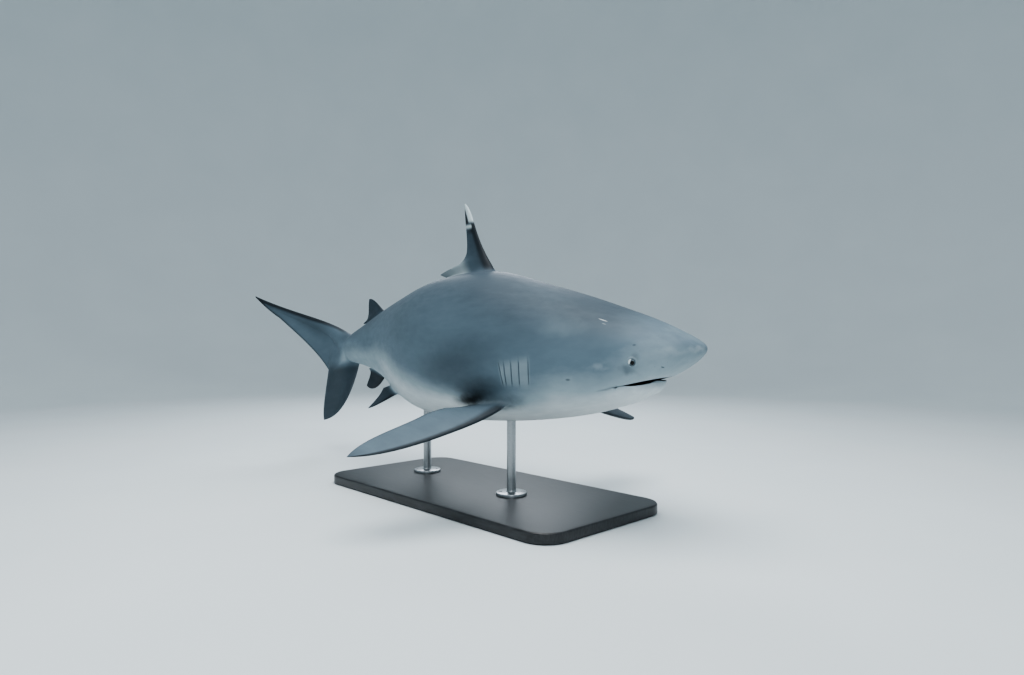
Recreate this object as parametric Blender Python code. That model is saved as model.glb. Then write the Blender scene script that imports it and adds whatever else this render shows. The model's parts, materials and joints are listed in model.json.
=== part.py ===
"""Bull shark, life size, banking slightly as it swims, on a plain display stand.

Metres, +Z up.  The origin is the centre of the stand base's underside and the snout
points along +X.  The fish is first laid out straight: a station s runs from the snout
tip (0) to the tail tip (100), y points to the fish's left and z up, all in hundredths
of its total length.  The swimming bend then carries every point into place.
"""
import math

import bmesh
import bpy
import numpy as np

for old in list(bpy.data.objects):
    bpy.data.objects.remove(old, do_unlink=True)

# ---------------------------------------------------------------- driving sizes
TOTAL_LENGTH = 2.70                  # snout tip to the tip of the tail, along the spine
PCT = TOTAL_LENGTH / 100             # one station
GAP = 0.0003                         # clearance between neighbouring pieces

# Where the snout tip is held, and the swimming bend (degrees; + turns to the right
# and up).  Each bend is spread between two stations.
NOSE = (0.902, 0.074, 0.561)
HEADING, PITCH, ROLL = -8.0, 2.4, 1.4
TURNS = ((17.7, 15, 50), (-8.4, 45, 75), (-37.3, 70, 100))
RISES = ((-5.5, 15, 45), (10.3, 42, 82))

# Body lines: station, back, belly, half width, level of the widest point, and the
# squareness of the section above and below that level (2 is an ellipse).
BODY = np.array([
    (0.0, 0.05, -0.05, 0.00, 0.00, 2.00, 2.00),
    (0.4, 0.62, -0.68, 1.40, 0.02, 2.00, 2.10),
    (1.2, 1.16, -1.32, 2.45, -0.02, 2.00, 2.20),
    (3.0, 2.12, -2.33, 4.00, -0.15, 2.00, 2.50),
    (6.0, 3.60, -3.80, 5.45, -0.55, 2.05, 2.50),
    (10.0, 5.15, -6.30, 6.55, -0.90, 2.10, 2.30),
    (15.0, 7.05, -7.45, 7.45, -1.00, 2.10, 2.15),
    (22.0, 9.25, -8.30, 8.30, -0.70, 2.05, 2.10),
    (30.0, 11.25, -8.90, 8.70, -0.10, 1.95, 2.10),
    (40.0, 10.70, -9.55, 8.00, 0.30, 1.95, 2.05),
    (50.0, 8.45, -9.30, 5.90, 0.40, 2.00, 2.00),
    (60.0, 6.15, -5.45, 3.80, 0.40, 2.00, 2.00),
    (68.0, 3.95, -3.30, 2.42, 0.25, 2.00, 2.00),
    (73.5, 2.65, -2.30, 1.85, 0.15, 2.00, 2.00)])
HEAD_END, SHOULDER_END, TRUNK_END, CAUDAL = 16.5, 36.0, 56.0, 73.5

# Mouth: the lips meet in one sloping plane; the jaw hangs a little open in front.
JAW_FRONT, JAW_HINGE = 5.8, 11.8
LIP_LEVEL, LIP_SLOPE = -3.02, -0.21        # level at station 5, rise per station
MOUTH_OPEN, JAW_FULLNESS = 0.32, 0.44

# Eyes
EYE_RADIUS, EYE_DEPTH = 0.019, 0.0150       # ball, and its centre below the skin
EYE_STATION, EYE_LEVEL = 5.95, -1.05

# Tail fin corners (station, level)
LOWER_TIP, FORK, NOTCH, UPPER_TIP = (84.6, -12.5), (81.9, -3.0), (92.7, 8.6), (97.7, 13.8)
TAIL_ROOT_TOP, TAIL_ROOT_BOTTOM = (CAUDAL, 2.65), (CAUDAL, -2.30)
RIB_LOWER_TIP, RIB_FORK, RIB_NOTCH, RIB_END = 0.30, 0.52, 0.88, 0.985

# Fins: leading edge from the root to the apex and trailing edge from the apex to the
# free rear tip, as Bezier corners (back, out); then the rear end of the base, the
# share of the span taken by the free rear tip, the thickness ratio and the root flare.
DORSAL_1 = dict(lead=((0, 0), (4.9, 4.9), (5.0, 8.8), (7.3, 10.0)),
                trail=((7.3, 10.0), (7.1, 4.6), (3.2, -0.5), (13.7, 1.0)),
                base=11.4, rear=0.12, thick=0.105, flare=0.35)
DORSAL_2 = dict(lead=((0, 0), (1.9, 1.6), (3.5, 3.8), (5.2, 4.1)),
                trail=((5.2, 4.1), (6.0, 2.4), (4.9, 0.4), (8.0, 0.6)),
                base=5.6, rear=0.16, thick=0.10, flare=0.18)
ANAL = dict(lead=((0, 0), (1.9, 2.5), (5.1, 4.7), (7.3, 3.7)),
            trail=((7.3, 3.7), (6.4, 2.3), (4.7, 0.6), (6.2, 0.45)),
            base=4.8, rear=0.16, thick=0.10, flare=0.18)
PECTORAL = dict(lead=((0, 0), (3.2, 6.5), (6.5, 15.5), (12.2, 18.0)),
                trail=((12.2, 18.0), (13.6, 12.9), (7.9, 8.0), (9.9, 3.0)),
                base=6.8, rear=0.20, thick=0.12, flare=0.30)
PELVIC = dict(lead=((0, 0), (1.6, 1.8), (3.4, 4.6), (5.4, 5.4)),
              trail=((5.4, 5.4), (5.6, 4.0), (5.7, 2.4), (7.4, 1.3)),
              base=5.4, rear=0.25, thick=0.10, flare=0.18)
# Paired fins: root of the leading edge, droop, pitch at the root and further out,
# turn in its own plane (+ forward), side, and the station whose frame carries it.
PECTORAL_ROOT, PELVIC_ROOT = (20.6, 4.7, -5.1), (49.9, 3.0, -6.9)
RIGHT, LEFT = -1, 1

# Display stand
BASE_SIZE, BASE_CORNER, BASE_EDGE = (1.25, 0.60, 0.036), 0.09, 0.006
ROD_RADIUS, FLANGE_RADIUS, FLANGE_HEIGHT = 0.016, 0.055, 0.010
ROD_STATIONS = (27.0, 47.0)


# ---------------------------------------------------------------- curves and lines
def ease(start, end, x):
    """0 before start, 1 after end, and a smooth rise between them."""
    t = np.clip((x - start) / (end - start), 0, 1)
    return t * t * (3 - 2 * t)


def fair(x, y, at):
    """A curve through the points (x, y) that never overshoots them."""
    x, y, at = np.asarray(x, float), np.asarray(y, float), np.asarray(at, float)
    h = np.diff(x)
    slope = np.diff(y) / h
    tangent = np.zeros_like(y)
    tangent[0], tangent[-1] = slope[0], slope[-1]
    for i in range(1, len(x) - 1):
        a, b = slope[i - 1], slope[i]
        if a * b > 0:
            w1, w2 = 2 * h[i] + h[i - 1], h[i] + 2 * h[i - 1]
            tangent[i] = (w1 + w2) / (w1 / a + w2 / b)
    i = np.clip(np.searchsorted(x, at, side="right") - 1, 0, len(x) - 2)
    t = (at - x[i]) / h[i]
    return ((1 + 2 * t) * (1 - t) ** 2 * y[i] + t * (1 - t) ** 2 * h[i] * tangent[i]
            + t * t * (3 - 2 * t) * y[i + 1] + t * t * (t - 1) * h[i] * tangent[i + 1])


def bezier(corners, t):
    """Cubic Bezier points at the parameters t."""
    a, b, c, d = np.asarray(corners, float)
    t = np.asarray(t, float)[..., None]
    return (1 - t) ** 3 * a + 3 * t * (1 - t) ** 2 * b + 3 * t * t * (1 - t) * c + t ** 3 * d


def body_lines(s):
    """Back, belly, half width, widest level and the two squarenesses at stations s.

    They are faired against the root of the station, which keeps the snout blunt.
    """
    at = np.sqrt(np.clip(s, 0, None))
    return [fair(np.sqrt(BODY[:, 0]), BODY[:, k], at) for k in range(1, 7)]


def body_section(s, angle):
    """Points of the sections at stations s, at angles counted from the fish's left."""
    back, belly, half, level, n_up, n_down = [line[:, None] for line in body_lines(s)]
    cos, sin = np.cos(angle)[None, :], np.sin(angle)[None, :]
    n = np.where(sin > 0, n_up, n_down)
    out = np.sign(cos) * np.abs(cos) ** (2 / n)
    up = np.abs(sin) ** (2 / n)
    z = np.where(sin > 0, level + (back - level) * up, level - (level - belly) * up)
    return np.stack([np.broadcast_to(s[:, None], z.shape), half * out, z], 2)


def lip_plane(s):
    return LIP_LEVEL + LIP_SLOPE * (s - 5)


# ---------------------------------------------------------------- swimming bend
SPINE = np.linspace(0, 100, 401)


def spine_frames():
    """Places and forward, left and up directions along the bent spine."""
    turn = np.radians(HEADING + sum(a * ease(b, c, SPINE) for a, b, c in TURNS))
    rise = np.radians(PITCH + sum(a * ease(b, c, SPINE) for a, b, c in RISES))
    forward = np.stack([np.cos(turn) * np.cos(rise), -np.sin(turn) * np.cos(rise),
                        np.sin(rise)], 1)
    step = (SPINE[1] - SPINE[0]) * PCT
    middle = (forward[1:] + forward[:-1]) / 2
    place = np.array(NOSE) - np.vstack([np.zeros(3), np.cumsum(middle * step, 0)])
    left = np.cross((0, 0, 1), forward)
    left /= np.linalg.norm(left, axis=1)[:, None]
    up = np.cross(forward, left)
    c, s = math.cos(math.radians(ROLL)), math.sin(math.radians(ROLL))
    return place, forward, c * left + s * up, c * up - s * left


PLACE, FORWARD, LEFTWARD, UPWARD = spine_frames()


def along(values, s):
    return np.stack([np.interp(s, SPINE, values[:, k]) for k in range(3)], -1)


def bend(points):
    """Carry straight-fish points (station, left, up) into the swimming pose."""
    s = np.clip(points[..., 0], 0, 100)
    beyond = (points[..., 0] - s)[..., None]
    return (along(PLACE, s) - along(FORWARD, s) * beyond * PCT
            + along(LEFTWARD, s) * points[..., 1:2] * PCT
            + along(UPWARD, s) * points[..., 2:3] * PCT)


def carry(points, station):
    """The same with one frame for the whole piece, so that it stays unbent."""
    back = (points[..., 0:1] - station) * PCT
    return (along(PLACE, station) - along(FORWARD, station) * back
            + along(LEFTWARD, station) * points[..., 1:2] * PCT
            + along(UPWARD, station) * points[..., 2:3] * PCT)


# ---------------------------------------------------------------- mesh helpers
def material(name, rgb, roughness, metallic=0.0):
    mat = bpy.data.materials.new(name)
    mat.use_nodes = True
    shader = mat.node_tree.nodes["Principled BSDF"]
    shader.inputs["Base Color"].default_value = (*rgb, 1)
    shader.inputs["Roughness"].default_value = roughness
    shader.inputs["Metallic"].default_value = metallic
    return mat


def link(name, mesh, mat):
    if mat is not None:
        mesh.materials.append(mat)
    ob = bpy.data.objects.new(name, mesh)
    bpy.context.scene.collection.objects.link(ob)
    return ob


def finish(bm, name, mat):
    bmesh.ops.recalc_face_normals(bm, faces=bm.faces[:])
    mesh = bpy.data.meshes.new(name)
    bm.to_mesh(mesh)
    bm.free()
    mesh.shade_smooth()
    mesh.set_sharp_from_angle(angle=math.radians(40))
    return link(name, mesh, mat)


def skin_loops(name, loops, mat, ladder=False):
    """A closed solid through a row of loops; the two end loops are capped.

    A ladder cap joins the points that face each other across a thin section.
    """
    bm = bmesh.new()
    rings = [[bm.verts.new(p) for p in loop] for loop in loops]
    count = len(rings[0])
    for a, b in zip(rings, rings[1:]):
        for j in range(count):
            k = (j + 1) % count
            bm.faces.new((a[j], a[k], b[k], b[j]))
    for ring in (rings[0], rings[-1]):
        if not ladder:
            bm.faces.new(ring)
            continue
        for j in range(count // 2):
            quad = (ring[j], ring[j + 1], ring[-1 - j], ring[-j])
            bm.faces.new(list(dict.fromkeys(quad)))
    return finish(bm, name, mat)


def cut_away(target, cutter, mode="DIFFERENCE"):
    """Apply a Boolean with the cutter, which stays a wire guide."""
    cutter.hide_render = True
    cutter.display_type = "WIRE"
    step = target.modifiers.new("cut_" + cutter.name, "BOOLEAN")
    step.operation = mode
    step.object = cutter
    step.solver = "EXACT"


# ---------------------------------------------------------------- body pieces
SIDES = 36                                        # points round a body section
ROUND = np.linspace(0, 2 * np.pi, SIDES, endpoint=False)
HALF_GAP = GAP / 2 / PCT


def stations(start, end, count, blunt=False):
    """Evenly spaced stations, or packed towards the snout tip."""
    if blunt:
        return 0.03 + (end - 0.03) * np.linspace(0, 1, count) ** 1.9
    return np.linspace(start, end, count)


flesh = material("shark_skin", (0.13, 0.18, 0.20), 0.45)
fin_skin = material("fin_skin", (0.11, 0.15, 0.17), 0.45)
eye_mat = material("eye", (0.03, 0.03, 0.03), 0.08)
base_mat = material("lacquered_base", (0.03, 0.03, 0.035), 0.4)
steel = material("rod_steel", (0.55, 0.56, 0.58), 0.3, 1.0)

head = skin_loops("head", bend(body_section(
    stations(0, HEAD_END - HALF_GAP, 16, blunt=True), ROUND)), flesh)
skin_loops("trunk_front", bend(body_section(
    stations(HEAD_END + HALF_GAP, SHOULDER_END - HALF_GAP, 9), ROUND)), flesh)
skin_loops("trunk_rear", bend(body_section(
    stations(SHOULDER_END + HALF_GAP, TRUNK_END - HALF_GAP, 9), ROUND)), flesh)
skin_loops("tail_stock", bend(body_section(
    stations(TRUNK_END + HALF_GAP, CAUDAL - HALF_GAP, 9), ROUND)), flesh)

# The palate: everything below the lip plane as far back as the jaw hinge.
low, wide = -14.0, 10.0
pocket = bmesh.new()
front, back = 3.0, JAW_HINGE
corners = [(s, y, z) for s in (front, back) for y in (-wide, wide)
           for z in (low, lip_plane(s))]
verts = [pocket.verts.new(p) for p in bend(np.array(corners))]
for face in ((0, 1, 3, 2), (4, 6, 7, 5), (0, 4, 5, 1), (2, 3, 7, 6), (0, 2, 6, 4), (1, 5, 7, 3)):
    pocket.faces.new([verts[i] for i in face])
cut_away(head, finish(pocket, "guide_palate", None))


def jaw_section(s, count=17):
    """The section of the head below the lip plane, dropped by the open mouth."""
    _, belly, half, level, _, n = [line[0] for line in body_lines(np.array([s]))]
    lip = lip_plane(s)
    up = np.clip((level - lip) / (level - belly), 0, 1)
    reach = math.asin(min(1.0, up ** (n / 2)))          # where the section meets the plane
    angle = np.linspace(-reach, reach - math.pi, count)
    y = half * np.sign(np.cos(angle)) * np.abs(np.cos(angle)) ** (2 / n)
    z = level - (level - belly) * np.abs(np.sin(angle)) ** (2 / n)
    gape = 0.05 + MOUTH_OPEN * float(ease(7.9, 6.1, s))
    front = math.sqrt(1 - (1 - min((s - JAW_FRONT + 0.03) / 1.3, 1)) ** 2)   # rounded in plan
    edge = 1 - np.abs(np.linspace(-1, 1, count)) ** 4   # full below, nothing at the lips
    fullness = JAW_FULLNESS * float(ease(5.0, 5.9, s) * ease(11.2, 7.4, s))
    y = y * front
    z = lip + (z - lip - fullness * edge) * front ** 0.5 - gape - 2 * HALF_GAP
    y, z = list(y), list(z)
    for k in range(1, count // 2):                        # the flat floor of the mouth
        t = k / (count // 2)
        y.append(y[count - 1] * (1 - t) + y[0] * t)
        z.append(z[count - 1] * (1 - t) + z[0] * t)
    return np.stack([np.full(len(y), s), y, z], 1)


jaw_stations = JAW_FRONT + (JAW_HINGE - 2 * HALF_GAP - JAW_FRONT) * np.linspace(0, 1, 10) ** 1.5
skin_loops("lower_jaw", bend(np.stack([jaw_section(s) for s in jaw_stations])), flesh)


def body_guide():
    """The whole body a gap larger all round, to trim what stands against it."""
    s = np.concatenate([stations(0, HEAD_END - HALF_GAP, 16, blunt=True),
                        stations(HEAD_END + HALF_GAP, SHOULDER_END - HALF_GAP, 9),
                        stations(SHOULDER_END + HALF_GAP, TRUNK_END - HALF_GAP, 9),
                        stations(TRUNK_END + HALF_GAP, CAUDAL - HALF_GAP, 9)])
    loops = bend(body_section(s, ROUND))
    centre = loops.mean(1, keepdims=True)
    out = loops - centre
    loops = loops + out / np.linalg.norm(out, axis=2, keepdims=True) * GAP * 1.4
    return skin_loops("guide_body", loops, None)


guide = body_guide()
guide.hide_render = True
guide.display_type = "WIRE"


# ---------------------------------------------------------------- tail fin
def tail_ribs(q):
    """Upper and lower ends of the ribs that fan across the tail fin."""
    q = np.asarray(q, float)
    t = fair((0, RIB_LOWER_TIP, RIB_FORK, RIB_NOTCH, 1), (0, 0.13, 0.27, 0.74, 1), q)
    upper = bezier((TAIL_ROOT_TOP, (81.5, 6.9), (89.5, 8.8), UPPER_TIP), t)
    pieces = ((0, RIB_LOWER_TIP, (TAIL_ROOT_BOTTOM, (74.1, -6.2), (78.7, -12.1), LOWER_TIP)),
              (RIB_LOWER_TIP, RIB_FORK, (LOWER_TIP, (84.7, -9.5), (82.0, -5.5), FORK)),
              (RIB_FORK, RIB_NOTCH, (FORK, (84.0, 0.2), (88.7, 4.4), NOTCH)),
              (RIB_NOTCH, 1, (NOTCH, (93.7, 9.3), (95.7, 11.2), UPPER_TIP)))
    lower = np.zeros(upper.shape)
    for start, end, corners in pieces:
        inside = (q >= start) & (q <= end)
        lower[inside] = bezier(corners, (q[inside] - start) / (end - start))
    return upper, lower


def tail_section(q, angle):
    """Loops round the ribs: the oval of the tail stock thins into a fin.

    A muscle and backbone column runs along the upper margin; behind it is a thin web.
    """
    upper, lower = tail_ribs(q)
    down = (1 - np.sin(angle)) / 2
    middle = upper[:, None, :] + (lower - upper)[:, None, :] * down[None, :, None]
    length = np.linalg.norm(lower - upper, axis=1)[:, None]
    morph = ease(0, 0.55, q)[:, None]
    oval = BODY[-1, 3] * np.sqrt(np.clip(1 - (2 * down - 1) ** 2, 0, 1))[None, :]
    marks = (0, 0.25, 0.55, 0.85, 1)
    half = fair(marks, (1.85, 1.15, 0.52, 0.22, 0.10), q)[:, None]
    depth = fair(marks, (4.7, 3.2, 2.2, 1.3, 0.5), q)[:, None]
    d = down[None, :] * length
    column = half * np.sqrt(np.clip(1 - ((d - depth * 0.42) / (depth * 0.58)) ** 2, 0, 1))
    web = (0.22 * (1 - down[None, :]) + 0.05) * np.clip(length / 6, 0.3, 1)
    edge = np.sqrt(np.clip(np.minimum(d, length - d) / 0.35, 0, 1))
    thick = oval * (1 - morph) + np.hypot(column, web) * edge * morph
    side = np.where(np.abs(np.cos(angle)) < 1e-9, 0, np.sign(np.cos(angle)))[None, :]
    return np.stack([middle[..., 0], thick * side, middle[..., 1]], 2)


TAIL_ROUND = np.linspace(np.pi / 2, np.pi / 2 - 2 * np.pi, 28, endpoint=False)
lower_q = np.concatenate([np.linspace(0.0022, RIB_LOWER_TIP, 9),
                          np.linspace(RIB_LOWER_TIP, RIB_FORK - 0.0005, 6)[1:]])
upper_q = np.concatenate([np.linspace(RIB_FORK + 0.0005, RIB_NOTCH, 9),
                          np.linspace(RIB_NOTCH, RIB_END, 4)[1:]])
skin_loops("caudal_fin_lower", bend(tail_section(lower_q, TAIL_ROUND)), fin_skin, ladder=True)
skin_loops("caudal_fin_upper", bend(tail_section(upper_q, TAIL_ROUND)), fin_skin, ladder=True)


# ---------------------------------------------------------------- other fins
def wing_section(u, ratio):
    """Half thickness of a rounded-nose wing section at the chord shares u."""
    return 5 * ratio * (0.2969 * np.sqrt(u) - 0.1260 * u - 0.3516 * u ** 2
                        + 0.2843 * u ** 3 - 0.1036 * u ** 4)


def fin_grid(fin, rows, columns, sunk):
    """Loops round a fin as (back, out, thickness), the first ones sunk in the body."""
    v = np.concatenate([[0, 0], (1 - (1 - np.linspace(0, 1, rows)) ** 1.5)[1:-1], [0.994]])
    lead = bezier(fin["lead"], v)
    base, trail = np.array((fin["base"], 0.0)), np.zeros(lead.shape)
    rear = v <= fin["rear"]
    trail[rear] = base + (np.array(fin["trail"][3]) - base) * (v[rear] / fin["rear"])[:, None]
    trail[~rear] = bezier(fin["trail"][::-1], (v[~rear] - fin["rear"]) / (1 - fin["rear"]))
    lead[0, 1] = trail[0, 1] = -sunk
    u = (1 - np.cos(np.linspace(0, np.pi, columns))) / 2
    flat = lead[:, None, :] + (trail - lead)[:, None, :] * u[None, :, None]
    chord = np.linalg.norm(trail - lead, axis=1)[:, None]
    swell = 1 + fin["flare"] * np.exp(-np.maximum(lead[:, 1:2], 0) / 0.9) * 2
    rim = 0.03 * np.sqrt(np.clip(np.minimum(u, 1 - u) * chord / 0.15, 0, 1))
    half = wing_section(u, fin["thick"])[None, :] * chord * swell + rim
    half[:, 0] = half[:, -1] = 0
    top = np.stack([flat[..., 0], flat[..., 1], half], 2)
    under = np.stack([flat[..., 0], flat[..., 1], -half], 2)[:, -2:0:-1]
    return np.concatenate([top, under], 1)


def median_fin(name, fin, station, side, rows, columns, lean=0.0):
    """A fin on the fish's midline; side is 1 on the back and -1 on the belly."""
    grid = fin_grid(fin, rows, columns, 1.6)
    s = station + grid[..., 0]
    line = body_lines(s.ravel())[0 if side > 0 else 1].reshape(s.shape)
    points = np.stack([s, grid[..., 2] + lean * grid[..., 1], line + side * grid[..., 1]], 2)
    ob = skin_loops(name, bend(points), fin_skin, ladder=True)
    cut_away(ob, guide)


def paired_fin(name, fin, root, droop, pitch_root, pitch_tip, turn, side, station, rows, columns):
    """A fin on one flank, drooping and twisted about a line behind its leading edge."""
    grid = fin_grid(fin, rows, columns, 2.2)
    turn, droop = math.radians(turn), math.radians(droop)
    back = grid[..., 0] * math.cos(turn) + grid[..., 1] * math.sin(turn)
    out = grid[..., 1] * math.cos(turn) - grid[..., 0] * math.sin(turn)
    pitch = np.radians(pitch_root + (pitch_tip - pitch_root) * ease(1.0, 9.0, out))
    axis = 2.5
    x = axis + (back - axis) * np.cos(pitch) - grid[..., 2] * np.sin(pitch)
    rise = (back - axis) * np.sin(pitch) + grid[..., 2] * np.cos(pitch)
    y = root[1] + out * math.cos(droop) + rise * math.sin(droop)
    z = root[2] - out * math.sin(droop) + rise * math.cos(droop)
    points = carry(np.stack([root[0] + x, side * y, z], 2), station)
    ob = skin_loops(name, points, fin_skin, ladder=True)
    cut_away(ob, guide)


median_fin("first_dorsal_fin", DORSAL_1, 29.5, 1, 13, 12, lean=0.03)
median_fin("second_dorsal_fin", DORSAL_2, 61.4, 1, 8, 8)
median_fin("anal_fin", ANAL, 62.0, -1, 8, 8)
paired_fin("pectoral_fin_right", PECTORAL, PECTORAL_ROOT, 19.3, -5.5, 14.0, -9.4, RIGHT, 25.5, 13, 12)
paired_fin("pectoral_fin_left", PECTORAL, PECTORAL_ROOT, 17.4, -3.5, 28.0, -24.0, LEFT, 25.5, 13, 12)
paired_fin("pelvic_fin_right", PELVIC, PELVIC_ROOT, 43.0, -3.0, -3.0, 10.5, RIGHT, 51.0, 8, 9)
paired_fin("pelvic_fin_left", PELVIC, PELVIC_ROOT, 43.0, -3.0, -3.0, 10.5, LEFT, 51.0, 8, 9)


# ---------------------------------------------------------------- eyes
def eye_centre(side):
    """A point below the skin, straight in from the eye opening."""
    s = np.array([EYE_STATION])
    _, belly, half, level, _, n = [line[0] for line in body_lines(s)]
    drop = (level - EYE_LEVEL) / (level - belly)
    y = half * (1 - drop ** n) ** (1 / n)
    inward = EYE_DEPTH / PCT
    return bend(np.array([EYE_STATION + 0.30 * inward, side * (y - 0.94 * inward), EYE_LEVEL + 0.10 * inward]))


def ball(name, centre, radius, mat, rings=10, segments=16):
    bm = bmesh.new()
    bmesh.ops.create_uvsphere(bm, u_segments=segments, v_segments=rings, radius=radius)
    bmesh.ops.translate(bm, verts=bm.verts[:], vec=tuple(centre))
    return finish(bm, name, mat)


for side, word in ((RIGHT, "right"), (LEFT, "left")):
    centre = eye_centre(side)
    ball("eye_" + word, centre, EYE_RADIUS, eye_mat)
    cut_away(head, ball("guide_socket_" + word, centre, EYE_RADIUS + 1.5 * GAP, None))


# ---------------------------------------------------------------- display stand
def plate_outline(length, width, corner, steps=6):
    """A rounded rectangle about the origin."""
    points = []
    for quarter, (sx, sy) in enumerate(((1, 1), (-1, 1), (-1, -1), (1, -1))):
        for k in range(steps + 1):
            a = math.radians(90 * quarter + 90 * k / steps)
            points.append((sx * (length / 2 - corner) + corner * math.cos(a),
                           sy * (width / 2 - corner) + corner * math.sin(a)))
    return points


length, width, height = BASE_SIZE
loops = []
for inset, z in ((0, 0), (0, height - BASE_EDGE), (0.3 * BASE_EDGE, height - 0.3 * BASE_EDGE),
                 (BASE_EDGE, height)):
    outline = plate_outline(length - 2 * inset, width - 2 * inset, BASE_CORNER - inset)
    loops.append([(x, y, z) for x, y in outline])
skin_loops("stand_base", loops, base_mat)


def rod(name, station):
    """A turned flange and rod, straight up from the base to the belly."""
    foot = bend(np.array([station, 0.0, body_lines(np.array([station]))[1][0]]))
    top = foot[2] + 0.06
    z0 = BASE_SIZE[2] + GAP
    profile = ((FLANGE_RADIUS, z0), (FLANGE_RADIUS, z0 + FLANGE_HEIGHT * 0.7),
               (FLANGE_RADIUS - 0.003, z0 + FLANGE_HEIGHT), (ROD_RADIUS + 0.006, z0 + FLANGE_HEIGHT),
               (ROD_RADIUS, z0 + FLANGE_HEIGHT + 0.006), (ROD_RADIUS, top))
    ring = np.linspace(0, 2 * np.pi, 24, endpoint=False)
    loops = [[(foot[0] + r * math.cos(a), foot[1] + r * math.sin(a), z) for a in ring]
             for r, z in profile]
    cut_away(skin_loops(name, loops, steel), guide)


rod("stand_rod_front", ROD_STATIONS[0])
rod("stand_rod_rear", ROD_STATIONS[1])
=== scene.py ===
# %% [markdown]
# # A bull shark on a display stand
#
# This file dresses a life-size shark model.  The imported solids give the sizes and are
# kept for collision; here they are covered by one continuous skin, two glass-like eyes
# and a finished stand.  Everything is in metres, with +X towards the snout, +Y to the
# fish's left and +Z up, and the floor at zero.

# %% Load the frame and keep its box
import json
import math

import bmesh
import bpy
import numpy as np
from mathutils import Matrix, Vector
from mathutils.kdtree import KDTree

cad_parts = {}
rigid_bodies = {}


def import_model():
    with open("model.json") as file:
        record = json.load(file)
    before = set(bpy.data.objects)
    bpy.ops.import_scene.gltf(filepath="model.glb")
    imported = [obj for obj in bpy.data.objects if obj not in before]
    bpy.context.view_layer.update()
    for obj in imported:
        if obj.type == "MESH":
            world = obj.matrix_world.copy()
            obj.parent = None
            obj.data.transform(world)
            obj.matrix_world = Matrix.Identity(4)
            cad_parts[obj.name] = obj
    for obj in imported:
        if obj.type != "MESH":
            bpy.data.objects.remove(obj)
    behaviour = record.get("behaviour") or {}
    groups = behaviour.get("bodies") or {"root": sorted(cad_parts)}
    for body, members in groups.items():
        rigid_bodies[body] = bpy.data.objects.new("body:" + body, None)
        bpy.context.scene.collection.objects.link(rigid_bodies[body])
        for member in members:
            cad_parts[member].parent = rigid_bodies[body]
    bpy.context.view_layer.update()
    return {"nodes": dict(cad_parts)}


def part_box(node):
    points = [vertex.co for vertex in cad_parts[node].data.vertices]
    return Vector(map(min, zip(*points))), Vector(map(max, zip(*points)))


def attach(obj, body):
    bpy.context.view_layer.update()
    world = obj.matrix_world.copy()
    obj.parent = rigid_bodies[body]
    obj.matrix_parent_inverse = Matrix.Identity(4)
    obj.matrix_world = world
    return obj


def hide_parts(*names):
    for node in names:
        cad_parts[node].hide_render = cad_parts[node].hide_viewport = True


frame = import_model()

# %% [markdown]
# ## Sizes
#
# A fish is easiest to shape while it lies straight.  A station runs from the snout tip
# (0) to the tail tip (100); left and up are counted in the same unit, a hundredth of the
# total length.  The swimming bend comes later.
#
# The numbers are not measurements of a real shark.  The angles of the bend, several heights
# of the body, the places of the gill slits, the rear edge and set of the pectoral fins, some
# of the marks and the camera's place were computed by separate fitting programs and rounded.
# The eyes, nostrils and mouth were placed near such results, the other fins were drawn with
# them in view, and the rest was set one by one.

# %% Driving sizes of the fish
TOTAL_LENGTH = 2.70
PCT = TOTAL_LENGTH / 100                  # metres in one station
NOSE = (0.902, 0.074, 0.561)              # the snout tip, in metres
HEADING, PITCH, ROLL = -8.0, 2.4, 1.4     # degrees at the snout
# Turns to the side and up along the body: degrees, first station, last station.
TURNS = ((17.7, 15, 50), (-8.4, 45, 75), (-37.3, 70, 100))
RISES = ((-5.5, 15, 45), (10.3, 42, 82))

# station, back, belly, half width, widest level, squareness above and below it
BODY = np.array([
    (0.0, 0.05, -0.05, 0.00, 0.00, 2.00, 2.00),
    (0.4, 0.62, -0.68, 1.40, 0.02, 2.00, 2.10),
    (1.2, 1.16, -1.32, 2.45, -0.02, 2.00, 2.20),
    (3.0, 2.12, -2.33, 4.00, -0.15, 2.00, 2.50),
    (6.0, 3.60, -3.80, 5.45, -0.55, 2.05, 2.50),
    (10.0, 5.15, -6.30, 6.55, -0.90, 2.10, 2.30),
    (15.0, 7.05, -7.45, 7.45, -1.00, 2.10, 2.15),
    (22.0, 9.25, -8.30, 8.30, -0.70, 2.05, 2.10),
    (30.0, 11.25, -8.90, 8.70, -0.10, 1.95, 2.10),
    (40.0, 10.70, -9.55, 8.00, 0.30, 1.95, 2.05),
    (50.0, 8.45, -9.30, 5.90, 0.40, 2.00, 2.00),
    (60.0, 6.15, -5.45, 3.80, 0.40, 2.00, 2.00),
    (68.0, 3.95, -3.30, 2.42, 0.25, 2.00, 2.00),
    (73.5, 2.65, -2.30, 1.85, 0.15, 2.00, 2.00)])
CAUDAL = 73.5                             # where the tail fin begins
print("length %.2f m, one station %.1f mm" % (TOTAL_LENGTH, PCT * 1000))


# %% [markdown]
# ## Curves
#
# Three small curve tools draw every line of the fish.  `fair` passes through given points
# without overshooting, which a plain spline would do beside the blunt snout.  `bezier`
# draws the fin outlines, as a drawing program would.  `ease` is a soft switch.

# %% Curve tools
def ease(start, end, x):
    """0 before start, 1 after end, 3t^2 - 2t^3 between them."""
    t = np.clip((x - start) / (end - start), 0, 1)
    return t * t * (3 - 2 * t)


def bump(centre, reach, x):
    """1 at the centre, falling smoothly to 0 at the reach on both sides."""
    t = np.clip(1 - ((x - centre) / reach) ** 2, 0, 1)
    return t * t


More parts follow.
